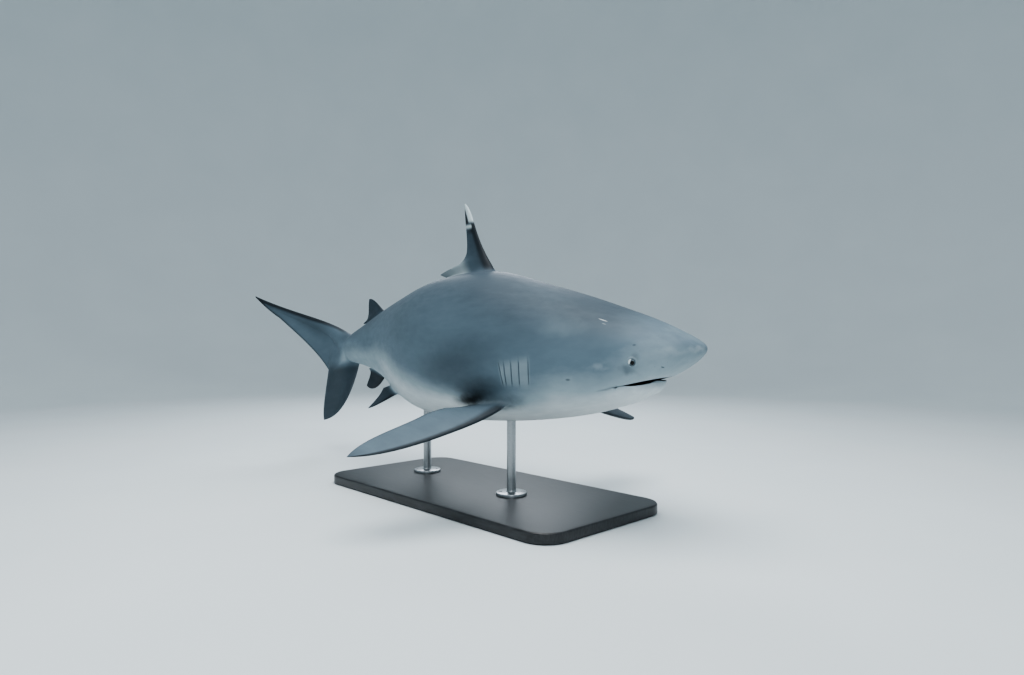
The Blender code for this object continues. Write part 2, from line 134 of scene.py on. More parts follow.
def fair(x, y, at):
    """Cubic pieces whose tangents are harmonic means of the slopes on either side."""
    x, y, at = np.asarray(x, float), np.asarray(y, float), np.asarray(at, float)
    h = np.diff(x)
    slope = np.diff(y) / h
    same = slope[:-1] * slope[1:] > 0
    safe = np.where(np.abs(slope) < 1e-12, 1e-12, slope)
    w1, w2 = 2 * h[1:] + h[:-1], h[1:] + 2 * h[:-1]
    inner = np.where(same, (w1 + w2) / (w1 / safe[:-1] + w2 / safe[1:]), 0)
    tangent = np.concatenate([slope[:1], inner, slope[-1:]])
    i = np.clip(np.searchsorted(x, at, side="right") - 1, 0, len(x) - 2)
    t = (at - x[i]) / h[i]
    return ((1 + 2 * t) * (1 - t) ** 2 * y[i] + t * (1 - t) ** 2 * h[i] * tangent[i]
            + t * t * (3 - 2 * t) * y[i + 1] + t * t * (t - 1) * h[i] * tangent[i + 1])


def bezier(corners, t):
    """Cubic Bezier points at the parameters t."""
    a, b, c, d = np.asarray(corners, float)
    t = np.asarray(t, float)[..., None]
    return (1 - t) ** 3 * a + 3 * t * (1 - t) ** 2 * b + 3 * t * t * (1 - t) * c + t ** 3 * d


# %% [markdown]
# ## Body lines
#
# The body is a stack of rounded sections.  Their heights and widths are read from the
# table along the root of the station, which makes the snout blunt like a parabola.  The
# lines are then blurred a little, because the eye catches the slightest break in the
# curvature of a glossy flank.  It could be sculpted, but a table can be corrected by a
# hundredth of the length at one station without touching the rest.

# %% Body lines and sections
ROOTS = np.linspace(0, math.sqrt(CAUDAL), 900)


def blurred_lines(width=26):
    """The table's lines on even steps of root station, smoothed by a bell of that width."""
    bell = np.exp(-0.5 * (np.arange(-3 * width, 3 * width + 1) / width) ** 2)
    bell /= bell.sum()
    lines = []
    for k in range(1, 7):
        line = fair(np.sqrt(BODY[:, 0]), BODY[:, k], ROOTS)
        wide = np.pad(line, 3 * width, mode="reflect", reflect_type="odd")
        lines.append(np.convolve(wide, bell, mode="valid"))
    return lines


LINES = blurred_lines()


def body_lines(s):
    """Back, belly, half width, widest level and the two squarenesses at stations s."""
    at = np.sqrt(np.clip(s, 0, CAUDAL))
    return [np.interp(at, ROOTS, line) for line in LINES]


def body_point(s, angle):
    """Points of superellipse sections: out = cos^(2/n), up = sin^(2/n), by quadrant."""
    back, belly, half, level, n_up, n_down = body_lines(s)
    cos, sin = np.cos(angle), np.sin(angle)
    n = np.where(sin > 0, n_up, n_down)
    out = np.sign(cos) * np.abs(cos) ** (2 / n)
    up = np.abs(sin) ** (2 / n)
    z = np.where(sin > 0, level + (back - level) * up, level - (level - belly) * up)
    return np.stack([np.broadcast_to(s, z.shape), half * out, z], -1)


def flank_point(s, level, side):
    """The point of the skin at a station and level on one flank (side +1 is the left)."""
    back, belly, half, mid, n_up, n_down = body_lines(np.asarray(s, float))
    n = np.where(level > mid, n_up, n_down)
    share = np.where(level > mid, (level - mid) / (back - mid), (mid - level) / (mid - belly))
    return np.stack([s, side * half * (1 - np.clip(share, 0, 1) ** n) ** (1 / n), level], -1)


# %% [markdown]
# ## The swimming bend
#
# A shark swims by bending sideways, most of all in the tail.  The spine is a path whose
# heading and climb change smoothly; every point of the straight fish is carried to the
# place with the same station, left and up on that path.  An armature could bend it too,
# but a formula can be undone, which the colours need later on.  Stiff fins are carried by
# one frame instead, so that they don't curl with the body.

# %% Spine
SPINE = np.linspace(0, 100, 401)


def spine_frames():
    """Places and forward, left and up directions: the path is the sum of its headings."""
    turn = np.radians(HEADING + sum(a * ease(b, c, SPINE) for a, b, c in TURNS))
    rise = np.radians(PITCH + sum(a * ease(b, c, SPINE) for a, b, c in RISES))
    forward = np.stack([np.cos(turn) * np.cos(rise), -np.sin(turn) * np.cos(rise),
                        np.sin(rise)], 1)
    middle = (forward[1:] + forward[:-1]) / 2 * (SPINE[1] - SPINE[0]) * PCT
    place = np.array(NOSE) - np.vstack([np.zeros(3), np.cumsum(middle, 0)])
    left = np.cross((0, 0, 1), forward)
    left /= np.linalg.norm(left, axis=1)[:, None]
    up = np.cross(forward, left)
    c, s = math.cos(math.radians(ROLL)), math.sin(math.radians(ROLL))
    return place, forward, c * left + s * up, c * up - s * left


PLACE, FORWARD, LEFTWARD, UPWARD = spine_frames()


def along(values, s):
    """A row of the spine's vectors read at stations s, one coordinate at a time."""
    return np.stack([np.interp(s, SPINE, values[:, k]) for k in range(3)], -1)


def bend(points):
    """Straight-fish points (station, left, up) to the swimming pose, in metres."""
    points = np.asarray(points, float)
    s = np.clip(points[..., 0], 0, 100)
    beyond = (points[..., 0] - s)[..., None]
    return (along(PLACE, s) - along(FORWARD, s) * beyond * PCT
            + along(LEFTWARD, s) * points[..., 1:2] * PCT
            + along(UPWARD, s) * points[..., 2:3] * PCT)


def carry(points, station):
    """The same with one frame for the whole piece."""
    back = (points[..., 0:1] - station) * PCT
    return (along(PLACE, station) - along(FORWARD, station) * back
            + along(LEFTWARD, station) * points[..., 1:2] * PCT
            + along(UPWARD, station) * points[..., 2:3] * PCT)


def straighten(world, rounds=3):
    """The bend undone: the station whose frame sees the point level, then left and up."""
    coarse = np.linspace(0, 100, 101)
    knots = along(PLACE, coarse)
    near = ((world[:, None, :] - knots[None]) ** 2).sum(2).argmin(1)
    s = coarse[near]
    for _ in range(rounds):
        s = s - ((world - along(PLACE, s)) * along(FORWARD, s)).sum(1) / PCT
        s = np.clip(s, -2, 102)
    arm = world - along(PLACE, s)
    return np.stack([s, (arm * along(LEFTWARD, s)).sum(1) / PCT,
                     (arm * along(UPWARD, s)).sum(1) / PCT], 1)


# %% [markdown]
# ## From grids to meshes
#
# A closed piece is a row of loops with a cap at either end.  The corners are computed as
# one array, and the faces are the same pattern of four neighbours everywhere.

# %% Mesh tools
def grid_faces(rows, columns):
    """Quads between neighbouring loops; the last column joins the first."""
    a = np.arange(rows * columns).reshape(rows, columns)
    b = np.roll(a, -1, 1)
    return np.stack([a[:-1], b[:-1], b[1:], a[1:]], -1).reshape(-1, 4)


def placed(name, data):
    """A new object in the scene that holds the mesh, lamp or camera."""
    made = bpy.data.objects.new(name, data)
    bpy.context.scene.collection.objects.link(made)
    return made


def smooth(mesh, sharp=None):
    """Shade smooth; edges that turn by more than `sharp` degrees stay crisp."""
    mesh.polygons.foreach_set("use_smooth", np.ones(len(mesh.polygons), bool))
    if sharp is not None:
        mesh.set_sharp_from_angle(angle=math.radians(sharp))


def loop_solid(name, loops):
    """A closed solid through loops (rows, columns, 3); each end closes on its centre."""
    rows, columns = loops.shape[:2]
    points = np.vstack([loops.reshape(-1, 3), loops[0].mean(0), loops[-1].mean(0)])
    first, last = rows * columns, rows * columns + 1
    ring = np.arange(columns)
    after = np.roll(ring, -1)
    end = (rows - 1) * columns
    caps = [(after[k], ring[k], first) for k in range(columns)]
    caps += [(end + ring[k], end + after[k], last) for k in range(columns)]
    mesh = bpy.data.meshes.new(name)
    mesh.from_pydata(points.tolist(), [], grid_faces(rows, columns).tolist() + caps)
    turn_outward(mesh)
    return placed(name, mesh)


def turn_outward(mesh):
    """Merge the doubles, then turn every face outward."""
    bm = bmesh.new()
    bm.from_mesh(mesh)
    bmesh.ops.remove_doubles(bm, verts=bm.verts[:], dist=1e-6)
    bmesh.ops.recalc_face_normals(bm, faces=bm.faces[:])
    bm.to_mesh(mesh)
    bm.free()


def join(name, pieces, first_index=None):
    """One mesh of many; each piece keeps a material number that says where it came from."""
    bm = bmesh.new()
    for number, piece in enumerate(pieces):
        start = len(bm.faces)
        bm.from_mesh(piece.data)
        bm.faces.ensure_lookup_table()
        if first_index is not None:
            for face in bm.faces[start:]:
                face.material_index = first_index + number
        bpy.data.objects.remove(piece, do_unlink=True)
    mesh = bpy.data.meshes.new(name)
    bm.to_mesh(mesh)
    bm.free()
    return placed(name, mesh)


def boolean(target, other, operation):
    """Apply one exact Boolean and drop the other mesh."""
    step = target.modifiers.new("cut", "BOOLEAN")
    step.object, step.operation, step.solver = other, operation, "EXACT"
    graph = bpy.context.evaluated_depsgraph_get()
    mesh = bpy.data.meshes.new_from_object(target.evaluated_get(graph))
    target.modifiers.clear()
    target.data = mesh
    bpy.data.objects.remove(other, do_unlink=True)
    print(operation.lower(), "->", len(mesh.polygons), "faces")


# %% [markdown]
# ## Relief of the body
#
# The plain stack of sections is too smooth for a living animal.  A few low swellings
# follow its muscles: the jaw muscle behind the mouth, a brow over the eye, the shoulder,
# and the pits in front of the tail fin.  The five gill covers overlap like shingles, each
# rising gently backwards and then dropping at its slit.

# %% Gill, muscle and pit relief
GILLS = np.array((17.87, 19.07, 20.06, 20.93, 21.50))     # stations of the slits at mid height
GILL_LEANS = (-0.11, -0.10, -0.08, -0.02, 0.08)           # stations back per station up
GILL_LEVEL, GILL_HALF = -1.95, 1.4                        # middle level and half height


def gill_shift(s, level):
    """How far a slit stands behind its middle at a level: its lean, and a slight bow."""
    rel = level - GILL_LEVEL
    return np.interp(s, GILLS, GILL_LEANS) * rel + 0.05 * rel ** 2


def gill_line(number, level):
    """Station of one slit at the given levels."""
    return GILLS[number] + gill_shift(GILLS[number], level)


# height, station, reach along, share up the side (-1 belly, 1 back), reach up and down
SWELLINGS = ((0.11, 12.2, 3.2, -0.42, 0.45),      # jaw muscle
             (0.09, 6.3, 1.9, 0.42, 0.35),        # brow
             (-0.09, 8.6, 2.0, -0.05, 0.35),      # hollow behind the eye
             (0.10, 24.5, 6.0, -0.62, 0.35))      # shoulder
COVER_HEIGHT = 0.09                               # of a gill cover at its slit


def relief(s, z):
    """How far the skin stands off its plain section: the sum of all swellings, in stations."""
    back, belly, _, level, _, _ = body_lines(s)
    upness = np.where(z > level, (z - level) / (back - level + 1e-6),
                      -(level - z) / (level - belly + 1e-6))
    lift = np.zeros(upness.shape)
    for height, station, reach, share, spread in SWELLINGS:
        lift += height * bump(station, reach, s) * bump(share, spread, upness)
    # A faint groove along the flank, and the pits where the tail fin begins.
    lift -= 0.05 * ease(24, 34, s) * (1 - ease(60, 72, s)) * bump(0.12, 0.08, upness)
    lift -= 0.22 * bump(72.6, 0.55, s) * ease(0.72, 0.97, np.abs(upness))
    for number in range(5):
        start = GILLS[0] - 1.6 if number == 0 else gill_line(number - 1, z)
        slit = gill_line(number, z)
        ramp = np.clip((s - start) / (slit - start), 0, 1) * (s < slit + 0.012) * (s >= start)
        lift += COVER_HEIGHT * ramp ** 1.5 * bump(GILL_LEVEL, GILL_HALF * 1.25, z)
    return lift


def body_surface(s, angle):
    """Body points pushed out along their section's own direction by the relief."""
    plain = body_point(s, angle)
    level = body_lines(s)[3]
    centre = np.stack([plain[..., 0], 0 * level, np.broadcast_to(level, plain.shape[:-1])], -1)
    out = plain - centre
    out /= np.linalg.norm(out, axis=-1, keepdims=True) + 1e-9
    return plain + out * relief(plain[..., 0], plain[..., 2])[..., None]


# %% [markdown]
# ## Tail fin
#
# The tail fin grows out of the tail stock without a joint, so it belongs to the same
# grid: the loops simply go on as ribs that fan from the upper margin down to the lower
# tip, the fork, the notch and the upper tip.  Their oval thins into a blade that is
# thick only where the backbone runs, along the upper margin.

# %% Tail ribs
LOWER_TIP, FORK, NOTCH, UPPER_TIP = (84.6, -12.5), (81.9, -3.0), (92.7, 8.6), (97.7, 13.8)
TAIL_ROOT_TOP, TAIL_ROOT_BOTTOM = (CAUDAL, 2.65), (CAUDAL, -2.30)
RIB_LOWER_TIP, RIB_FORK, RIB_NOTCH = 0.30, 0.52, 0.88


def tail_ribs(q):
    """Upper and lower rib ends: Bezier margins, walked so that the ribs don't cross."""
    t = fair((0, RIB_LOWER_TIP, RIB_FORK, RIB_NOTCH, 1), (0, 0.13, 0.27, 0.74, 1), q)
    upper = bezier((TAIL_ROOT_TOP, (81.5, 6.9), (89.5, 8.8), UPPER_TIP), t)
    pieces = ((0, RIB_LOWER_TIP, (TAIL_ROOT_BOTTOM, (74.1, -6.2), (78.7, -12.1), LOWER_TIP)),
              (RIB_LOWER_TIP, RIB_FORK, (LOWER_TIP, (84.7, -9.5), (82.0, -5.5), FORK)),
              (RIB_FORK, RIB_NOTCH, (FORK, (84.0, 0.2), (88.7, 4.4), NOTCH)),
              (RIB_NOTCH, 1, (NOTCH, (93.7, 9.3), (95.7, 11.2), UPPER_TIP)))
    lower = np.zeros(upper.shape)
    for start, end, corners in pieces:
        inside = (q >= start) & (q <= end)
        lower[inside] = bezier(corners, (q[inside] - start) / (end - start))
    return upper, lower


def tail_surface(q, angle):
    """Loops round the ribs; thickness = oval x (1 - morph) + blade x morph."""
    upper, lower = tail_ribs(q)
    down = (1 - np.sin(angle)) / 2
    middle = upper[:, None, :] + (lower - upper)[:, None, :] * down[None, :, None]
    length = np.linalg.norm(lower - upper, axis=1)[:, None]
    morph = ease(0, 0.55, q)[:, None]
    oval = BODY[-1, 3] * np.sqrt(np.clip(1 - (2 * down - 1) ** 2, 0, 1))[None, :]
    marks = (0, 0.25, 0.55, 0.85, 1)
    half = fair(marks, (1.85, 1.15, 0.52, 0.22, 0.10), q)[:, None]
    depth = fair(marks, (4.7, 3.2, 2.2, 1.3, 0.5), q)[:, None]
    d = down[None, :] * length
    column = half * np.sqrt(np.clip(1 - ((d - depth * 0.42) / (depth * 0.58)) ** 2, 0, 1))
    web = (0.22 * (1 - down[None, :]) + 0.05) * np.clip(length / 6, 0.3, 1)
    edge = np.sqrt(np.clip(np.minimum(d, length - d) / 0.35, 0, 1))
    thick = oval * (1 - morph) + np.hypot(column, web) * edge * morph
    side = np.where(np.abs(np.cos(angle)) < 1e-9, 0, np.sign(np.cos(angle)))[None, :]
    return np.stack([middle[..., 0], thick * side, middle[..., 1]], 2)


# %% Body and tail fin as one grid
SIDES = 120
around = np.pi / 2 - np.arange(SIDES) * 2 * np.pi / SIDES
GILLS_FROM, GILLS_TO = 16.0, 24.0         # loops lie closest over the gills
GILLS_LOW, GILLS_HIGH = -4.2, 0.7
head_s = GILLS_FROM * np.linspace(0.006, 1, 150) ** 2
gill_s = np.linspace(GILLS_FROM, GILLS_TO, 92)[1:]
trunk_s = np.linspace(GILLS_TO, CAUDAL, 165)[1:]
ring_s = np.concatenate([head_s, gill_s, trunk_s])
# Beside the gills the loops lean as the slits do, so that the covers' edges stay clean.
level0 = body_point(ring_s[:, None], around[None, :])[..., 2]
lean = gill_shift(ring_s[:, None], np.clip(level0, GILLS_LOW, GILLS_HIGH))
lean = lean * bump(19.8, 5.0, ring_s)[:, None]
lean *= 1 - ease(-0.4, 1.2, level0)
lean *= 1 - ease(0.5, 1.6, GILLS_LOW - level0)
rings = bend(body_surface(ring_s[:, None] + lean, around[None, :]))
tail_q = np.concatenate([np.linspace(0, RIB_LOWER_TIP, 50)[1:],
                         np.linspace(RIB_LOWER_TIP, RIB_FORK, 30)[1:],
                         np.linspace(RIB_FORK, 0.992, 62)[1:]])
tail_points = bend(tail_surface(tail_q, around))
body_loops = np.concatenate([rings, tail_points])
skin = loop_solid("shark_skin", body_loops)
tail_down = (1 - np.sin(around)) / 2
print("body grid:", body_loops.shape[:2])

# %% [markdown]
# ## Fins
#
# Each fin is a small wing.  Its outline is a leading edge and a concave trailing edge
# that ends in a free rear tip; the chord between them carries a rounded wing section.
# Near the body the section swells into a fillet.  The rows that lie inside the body are
# swallowed by the union that follows.

# %% Fin outlines
DORSAL_1 = dict(lead=((0, 0), (4.9, 4.9), (5.0, 8.8), (7.3, 10.0)),
                trail=((7.3, 10.0), (7.1, 4.6), (3.2, -0.5), (13.7, 1.0)),
                base=11.4, rear=0.12, thick=0.105, flare=0.35)
DORSAL_2 = dict(lead=((0, 0), (1.9, 1.6), (3.5, 3.8), (5.2, 4.1)),
                trail=((5.2, 4.1), (6.0, 2.4), (4.9, 0.4), (8.0, 0.6)),
                base=5.6, rear=0.16, thick=0.10, flare=0.18)
ANAL = dict(lead=((0, 0), (1.9, 2.5), (5.1, 4.7), (7.3, 3.7)),
            trail=((7.3, 3.7), (6.4, 2.3), (4.7, 0.6), (6.2, 0.45)),
            base=4.8, rear=0.16, thick=0.10, flare=0.18)
PECTORAL = dict(lead=((0, 0), (3.2, 6.5), (6.5, 15.5), (12.2, 18.0)),
                trail=((12.2, 18.0), (13.6, 12.9), (7.9, 8.0), (9.9, 3.0)),
                base=6.8, rear=0.20, thick=0.12, flare=0.30)
PELVIC = dict(lead=((0, 0), (1.6, 1.8), (3.4, 4.6), (5.4, 5.4)),
              trail=((5.4, 5.4), (5.6, 4.0), (5.7, 2.4), (7.4, 1.3)),
              base=5.4, rear=0.25, thick=0.10, flare=0.18)
D1_STATION = 29.5
PECTORAL_ROOT, PELVIC_ROOT = (20.6, 4.7, -5.1), (49.9, 3.0, -6.9)
RIGHT, LEFT = -1, 1


def wing_section(u, ratio):
    """Half thickness of a rounded-nose wing section at the chord shares u."""
    return 5 * ratio * (0.2969 * np.sqrt(u) - 0.1260 * u - 0.3516 * u ** 2
                        + 0.2843 * u ** 3 - 0.1036 * u ** 4)


def fin_grid(fin, rows, columns, sunk):
    """Loops as (back, out, thickness), with the chord and span share of every point.

    Three more loops go `sunk` stations into the body, under the first one.
    """
    sink = np.linspace(1, 0, 4)[:-1]
    v = np.concatenate([0 * sink, (1 - (1 - np.linspace(0, 1, rows)) ** 1.6)[:-1], [0.9985]])
    lead = bezier(fin["lead"], v)
    base, trail = np.array((fin["base"], 0.0)), np.zeros(lead.shape)
    rear = v <= fin["rear"]
    trail[rear] = base + (np.array(fin["trail"][3]) - base) * (v[rear] / fin["rear"])[:, None]
    trail[~rear] = bezier(fin["trail"][::-1], (v[~rear] - fin["rear"]) / (1 - fin["rear"]))
    lead[:3, 1] = trail[:3, 1] = -sunk * sink
    u = (1 - np.cos(np.linspace(0, np.pi, columns))) / 2
    flat = lead[:, None, :] + (trail - lead)[:, None, :] * u[None, :, None]
    chord = np.linalg.norm(trail - lead, axis=1)[:, None]
    swell = 1 + fin["flare"] * np.exp(-np.maximum(lead[:, 1:2], 0) / 0.9) * 2
    rim = 0.03 * np.sqrt(np.clip(np.minimum(u, 1 - u) * chord / 0.15, 0, 1))
    half = wing_section(u, fin["thick"])[None, :] * chord * swell + rim
    half[:, 0] = half[:, -1] = 0
    top = np.stack([flat[..., 0], flat[..., 1], half], 2)
    under = np.stack([flat[..., 0], flat[..., 1], -half], 2)[:, -2:0:-1]
    share = np.concatenate([u, u[-2:0:-1]])
    return np.concatenate([top, under], 1), np.broadcast_to(share, (len(v), len(share))), v


# Numbers of the pieces: dorsal fins, anal, pectoral right and left, pelvic right and left.
D1, D2, AN, PR, PL, VR, VL, JAW, LIDS, PALATE, SOCKET, SLIT, TAIL = range(1, 14)
NOTES = {}                                # per piece: points and their (u, v, face)


def note(number, points, u, v, face):
    """Remember where on its own piece each point lies; the colours are worked out from it."""
    u, v, face = (np.broadcast_to(a, points.shape[:-1]) for a in (u, v, face))
    NOTES[number] = (points.reshape(-1, 3), np.stack([u, v, face], -1).reshape(-1, 3))


def median_fin(name, fin, station, side, rows, columns, number, lean=0.0):
    """A fin on the midline, standing on the back (+1) or the belly (-1) line."""
    grid, u, v = fin_grid(fin, rows, columns, 1.6)
    s = station + grid[..., 0]
    line = body_lines(s)[0 if side > 0 else 1]
    points = np.stack([s, grid[..., 2] + lean * grid[..., 1], line + side * grid[..., 1]], 2)
    points = bend(points)
    note(number, points, u, v[:, None], np.sign(grid[..., 2]))
    return loop_solid(name, points)


def paired_fin(name, fin, root, droop, pitch_root, pitch_tip, turn, side, station, rows,
               columns, number, axis=2.5):
    """A fin on one flank: turned in its plane, twisted about `axis`, then drooped."""
    grid, u, v = fin_grid(fin, rows, columns, 2.2)
    turn, droop = math.radians(turn), math.radians(droop)
    back = grid[..., 0] * math.cos(turn) + grid[..., 1] * math.sin(turn)
    out = grid[..., 1] * math.cos(turn) - grid[..., 0] * math.sin(turn)
    pitch = np.radians(pitch_root + (pitch_tip - pitch_root) * ease(1.0, 9.0, out))
    x = axis + (back - axis) * np.cos(pitch) - grid[..., 2] * np.sin(pitch)
    rise = (back - axis) * np.sin(pitch) + grid[..., 2] * np.cos(pitch)
    y = root[1] + out * math.cos(droop) + rise * math.sin(droop)
    z = root[2] - out * math.sin(droop) + rise * math.cos(droop)
    points = carry(np.stack([root[0] + x, side * y, z], 2), station)
    note(number, points, u, v[:, None], np.sign(grid[..., 2]))
    return loop_solid(name, points)


# %% Make the fins
note(TAIL, tail_points, tail_down[None, :], tail_q[:, None], 0)
# Paired fins: root, droop, pitch at root and tip, turn (degrees), side, carrying station.
fins = [median_fin("d1", DORSAL_1, D1_STATION, 1, 56, 34, D1, lean=0.03),
        median_fin("d2", DORSAL_2, 61.4, 1, 26, 20, D2),
        median_fin("an", ANAL, 62.0, -1, 26, 20, AN),
        paired_fin("pr", PECTORAL, PECTORAL_ROOT, 19.3, -5.5, 14.0, -9.4, RIGHT, 25.5, 60, 30, PR),
        paired_fin("pl", PECTORAL, PECTORAL_ROOT, 17.4, -3.5, 28.0, -24.0, LEFT, 25.5, 60, 30, PL),
        paired_fin("vr", PELVIC, PELVIC_ROOT, 43.0, -3.0, -3.0, 10.5, RIGHT, 51.0, 26, 20, VR),
        paired_fin("vl", PELVIC, PELVIC_ROOT, 43.0, -3.0, -3.0, 10.5, LEFT, 51.0, 26, 20, VL)]
print("fins:", len(fins), "faces:", sum(len(f.data.polygons) for f in fins))

# %% [markdown]
# ## Mouth
#
# The mouth is a wide arch under the snout.  The head is cut open below the plane in which
# the lips meet, with a vaulted palate, and the lower jaw is its own swelling solid under
# it, hanging a little open in front and growing into the cheeks behind the corners.

# %% Palate and lower jaw
JAW_FRONT, JAW_HINGE = 5.8, 11.8
LIP_LEVEL, LIP_SLOPE = -3.02, -0.21
MOUTH_OPEN, JAW_FULLNESS = 0.32, 0.44
BLOCK_HALF, BLOCK_FOOT = 9.0, -14.0       # the cutter reaches well outside the head
CORNER_START, CORNER_END = 8.2, 9.4       # stations over which the lips grow together
JAW_END = 12.2
JAW_SKIN = 64                             # points of a jaw loop that are outside the mouth


def lip_plane(s):
    """Level at which the lips meet: a straight line sinking backwards."""
    return LIP_LEVEL + LIP_SLOPE * (s - 5)


def palate_cutter():
    """A block under the lip plane, its top vaulted upwards inside the mouth."""
    s = np.linspace(3.6, JAW_HINGE, 30)
    across = np.linspace(-1, 1, 41)
    reach = 5.2 * np.sqrt(np.clip((s - 5.0) / 4.9, 0, 1))[:, None]
    y = across[None, :] * BLOCK_HALF
    inside = np.clip(1 - (y / np.maximum(reach - 0.35, 0.01)) ** 2, 0, 1)
    vault = 0.75 * np.sqrt(inside) * ease(5.3, 6.6, s)[:, None] * (1 - ease(9.6, 10.8, s)[:, None])
    top = np.stack([np.broadcast_to(s[:, None], vault.shape),
                    np.broadcast_to(y, vault.shape), lip_plane(s)[:, None] + vault], 2)
    down = np.linspace(0, 1, 4)[1:]
    right = np.stack([np.stack([s, np.full(s.shape, BLOCK_HALF),
                                lip_plane(s) * (1 - t) + BLOCK_FOOT * t], 1) for t in down], 1)
    left = right[:, ::-1] * np.array((1, -1, 1))
    return loop_solid("palate", bend(np.concatenate([top, right, left], 1)))


def jaw_section(s, count=JAW_SKIN):
    """The head's section below the lip plane, dropped by the gape and filled out.

    Behind the corners it stands a hair proud of the cheek, and past the hinge it sinks in.
    """
    _, belly, half, level, _, n = body_lines(np.array([s]))
    belly, half, level, n = belly[0], half[0], level[0], n[0]
    corner = float(ease(CORNER_START, CORNER_END, s))
    lip = lip_plane(s) + 0.12 * corner
    up = np.clip((level - lip) / (level - belly), 0, 1)
    reach = math.asin(min(1.0, up ** (n / 2)))
    angle = np.linspace(-reach, reach - math.pi, count)
    out = np.sign(np.cos(angle)) * np.abs(np.cos(angle)) ** (2 / n)
    y = half * out
    z = level - (level - belly) * np.abs(np.sin(angle)) ** (2 / n)
    gape = 0.05 + MOUTH_OPEN * float(ease(7.9, 6.1, s))
    front = math.sqrt(1 - (1 - min((s - JAW_FRONT + 0.03) / 1.3, 1)) ** 2)
    across = np.abs(np.linspace(-1, 1, count))
    edge = 1 - across ** 4
    fullness = JAW_FULLNESS * float(ease(5.0, 5.9, s) * ease(11.2, 7.4, s))
    z = lip + (z - lip - fullness * edge) * front ** 0.5 - gape * (1 - corner)
    y = y * front
    lift = relief(np.full(count, s), z) / np.hypot(y, z - level)
    grow = (1 + corner * (0.0012 + lift)) * (1 - 0.04 * float(ease(JAW_HINGE, JAW_END, s)))
    y, z = y * grow, level + (z - level) * grow
    t = np.linspace(0, 1, count // 2 + 1)[1:-1]
    floor_y = y[-1] * (1 - t) + y[0] * t
    tongue = (gape + 0.1) * (1 - (2 * t - 1) ** 2) * front * (1 - corner)
    floor_z = z[-1] * (1 - t) + z[0] * t + tongue
    return np.stack([np.full(count + len(t), s), np.r_[y, floor_y], np.r_[z, floor_z]], 1)


jaw_s = JAW_FRONT + (JAW_END - JAW_FRONT) * np.linspace(0, 1, 64) ** 1.6
jaw_loops = bend(np.stack([jaw_section(s) for s in jaw_s]))
jaw = loop_solid("jaw", jaw_loops)
note(JAW, jaw_loops, 0, 0, (np.arange(jaw_loops.shape[1]) >= JAW_SKIN)[None, :])
print("jaw from station", jaw_s[0], "to", jaw_s[-1], "open", round(MOUTH_OPEN * PCT * 1000, 1), "mm")

# %% [markdown]
# ## Eye sockets and lids
#
# The eyeball is mostly hidden; only a disc about two centimetres across shows.  The socket
# is a ball a little larger than the eye, taken out of the head, and a thin raised lid is
# turned round the eye's axis and rolls over into the socket.

# %% Sockets and lids
EYE_RADIUS, EYE_DEPTH = 0.019, 0.0150     # metres; the depth is from the skin to the centre
EYE_STATION, EYE_LEVEL = 5.95, -1.05
SOCKET_CLEARANCE = 0.0004


def eye_frame(side):
    """Centre of the eyeball, and the direction it looks in."""
    skin_at = flank_point(EYE_STATION, EYE_LEVEL, side)
    inward = EYE_DEPTH / PCT
    centre = bend(skin_at + np.array((0.30, -side * 0.94, 0.10)) * inward)
    gaze = bend(skin_at) - centre
    return centre, gaze / np.linalg.norm(gaze)


def turned(profile, centre, axis, steps=48):
    """A profile of (radius, height) turned about an axis through the centre."""
    axis = np.asarray(axis, float)
    side = np.cross(axis, (0, 0, 1) if abs(axis[2]) < 0.9 else (1, 0, 0))
    side /= np.linalg.norm(side)
    other = np.cross(axis, side)
    a = np.linspace(0, 2 * np.pi, steps, endpoint=False)
    ring = np.cos(a)[:, None] * side + np.sin(a)[:, None] * other
    profile = np.asarray(profile, float)
    return (np.asarray(centre) + profile[:, None, :1] * ring[None]
            + profile[:, None, 1:] * axis[None, None])


def arc_profile(radius, start, end, steps):
    """(radius, height) pairs round a ball, angles in degrees from its pole."""
    a = np.radians(np.linspace(start, end, steps))
    return np.stack([radius * np.sin(a), radius * np.cos(a)], 1)


sockets, lids = [], []
for side in (RIGHT, LEFT):
    centre, gaze = eye_frame(side)
    clear = EYE_RADIUS + SOCKET_CLEARANCE
    sockets.append(loop_solid("socket", turned(arc_profile(clear, 0.5, 179.5, 28), centre, gaze)))
    lip_in, lip_out = 0.0108, 0.0165
    profile = np.array([(lip_in, EYE_DEPTH + 0.0006), (lip_in + 0.0008, EYE_DEPTH + 0.0021),
                        (lip_in + 0.0022, EYE_DEPTH + 0.0024), (lip_in + 0.0036, EYE_DEPTH + 0.0014),
                        (lip_out, EYE_DEPTH - 0.0012), (lip_out - 0.0005, EYE_DEPTH - 0.0040),
                        (lip_in + 0.0030, EYE_DEPTH - 0.0040), (lip_in + 0.0006, EYE_DEPTH - 0.0008)])
    ring = turned(profile, centre, gaze, 56)
    lids.append(np.swapaxes(ring, 0, 1))


def ring_solid(name, loops):
    """A closed ring: quads as in grid_faces, and the last loop joins the first."""
    rows, columns = loops.shape[:2]
    a = np.arange(rows * columns).reshape(rows, columns)
    b = np.roll(a, -1, 1)
    faces = np.stack([a, b, np.roll(b, -1, 0), np.roll(a, -1, 0)], -1).reshape(-1, 4)
    mesh = bpy.data.meshes.new(name)
    mesh.from_pydata(loops.reshape(-1, 3).tolist(), [], faces.tolist())
    turn_outward(mesh)
    return placed(name, mesh)


lid_pieces = [ring_solid("lid", ring) for ring in lids]
print("eye sockets:", len(sockets), "lids:", len(lid_pieces))

# %% [markdown]
# ## Gill slits and nostrils
#
# Each slit is a thin lens pressed into the side, deepest in the middle.  The nostrils are
# short slots under the snout.  Painted lines would look flat as soon as light falls along
# the flank, so both are cut.

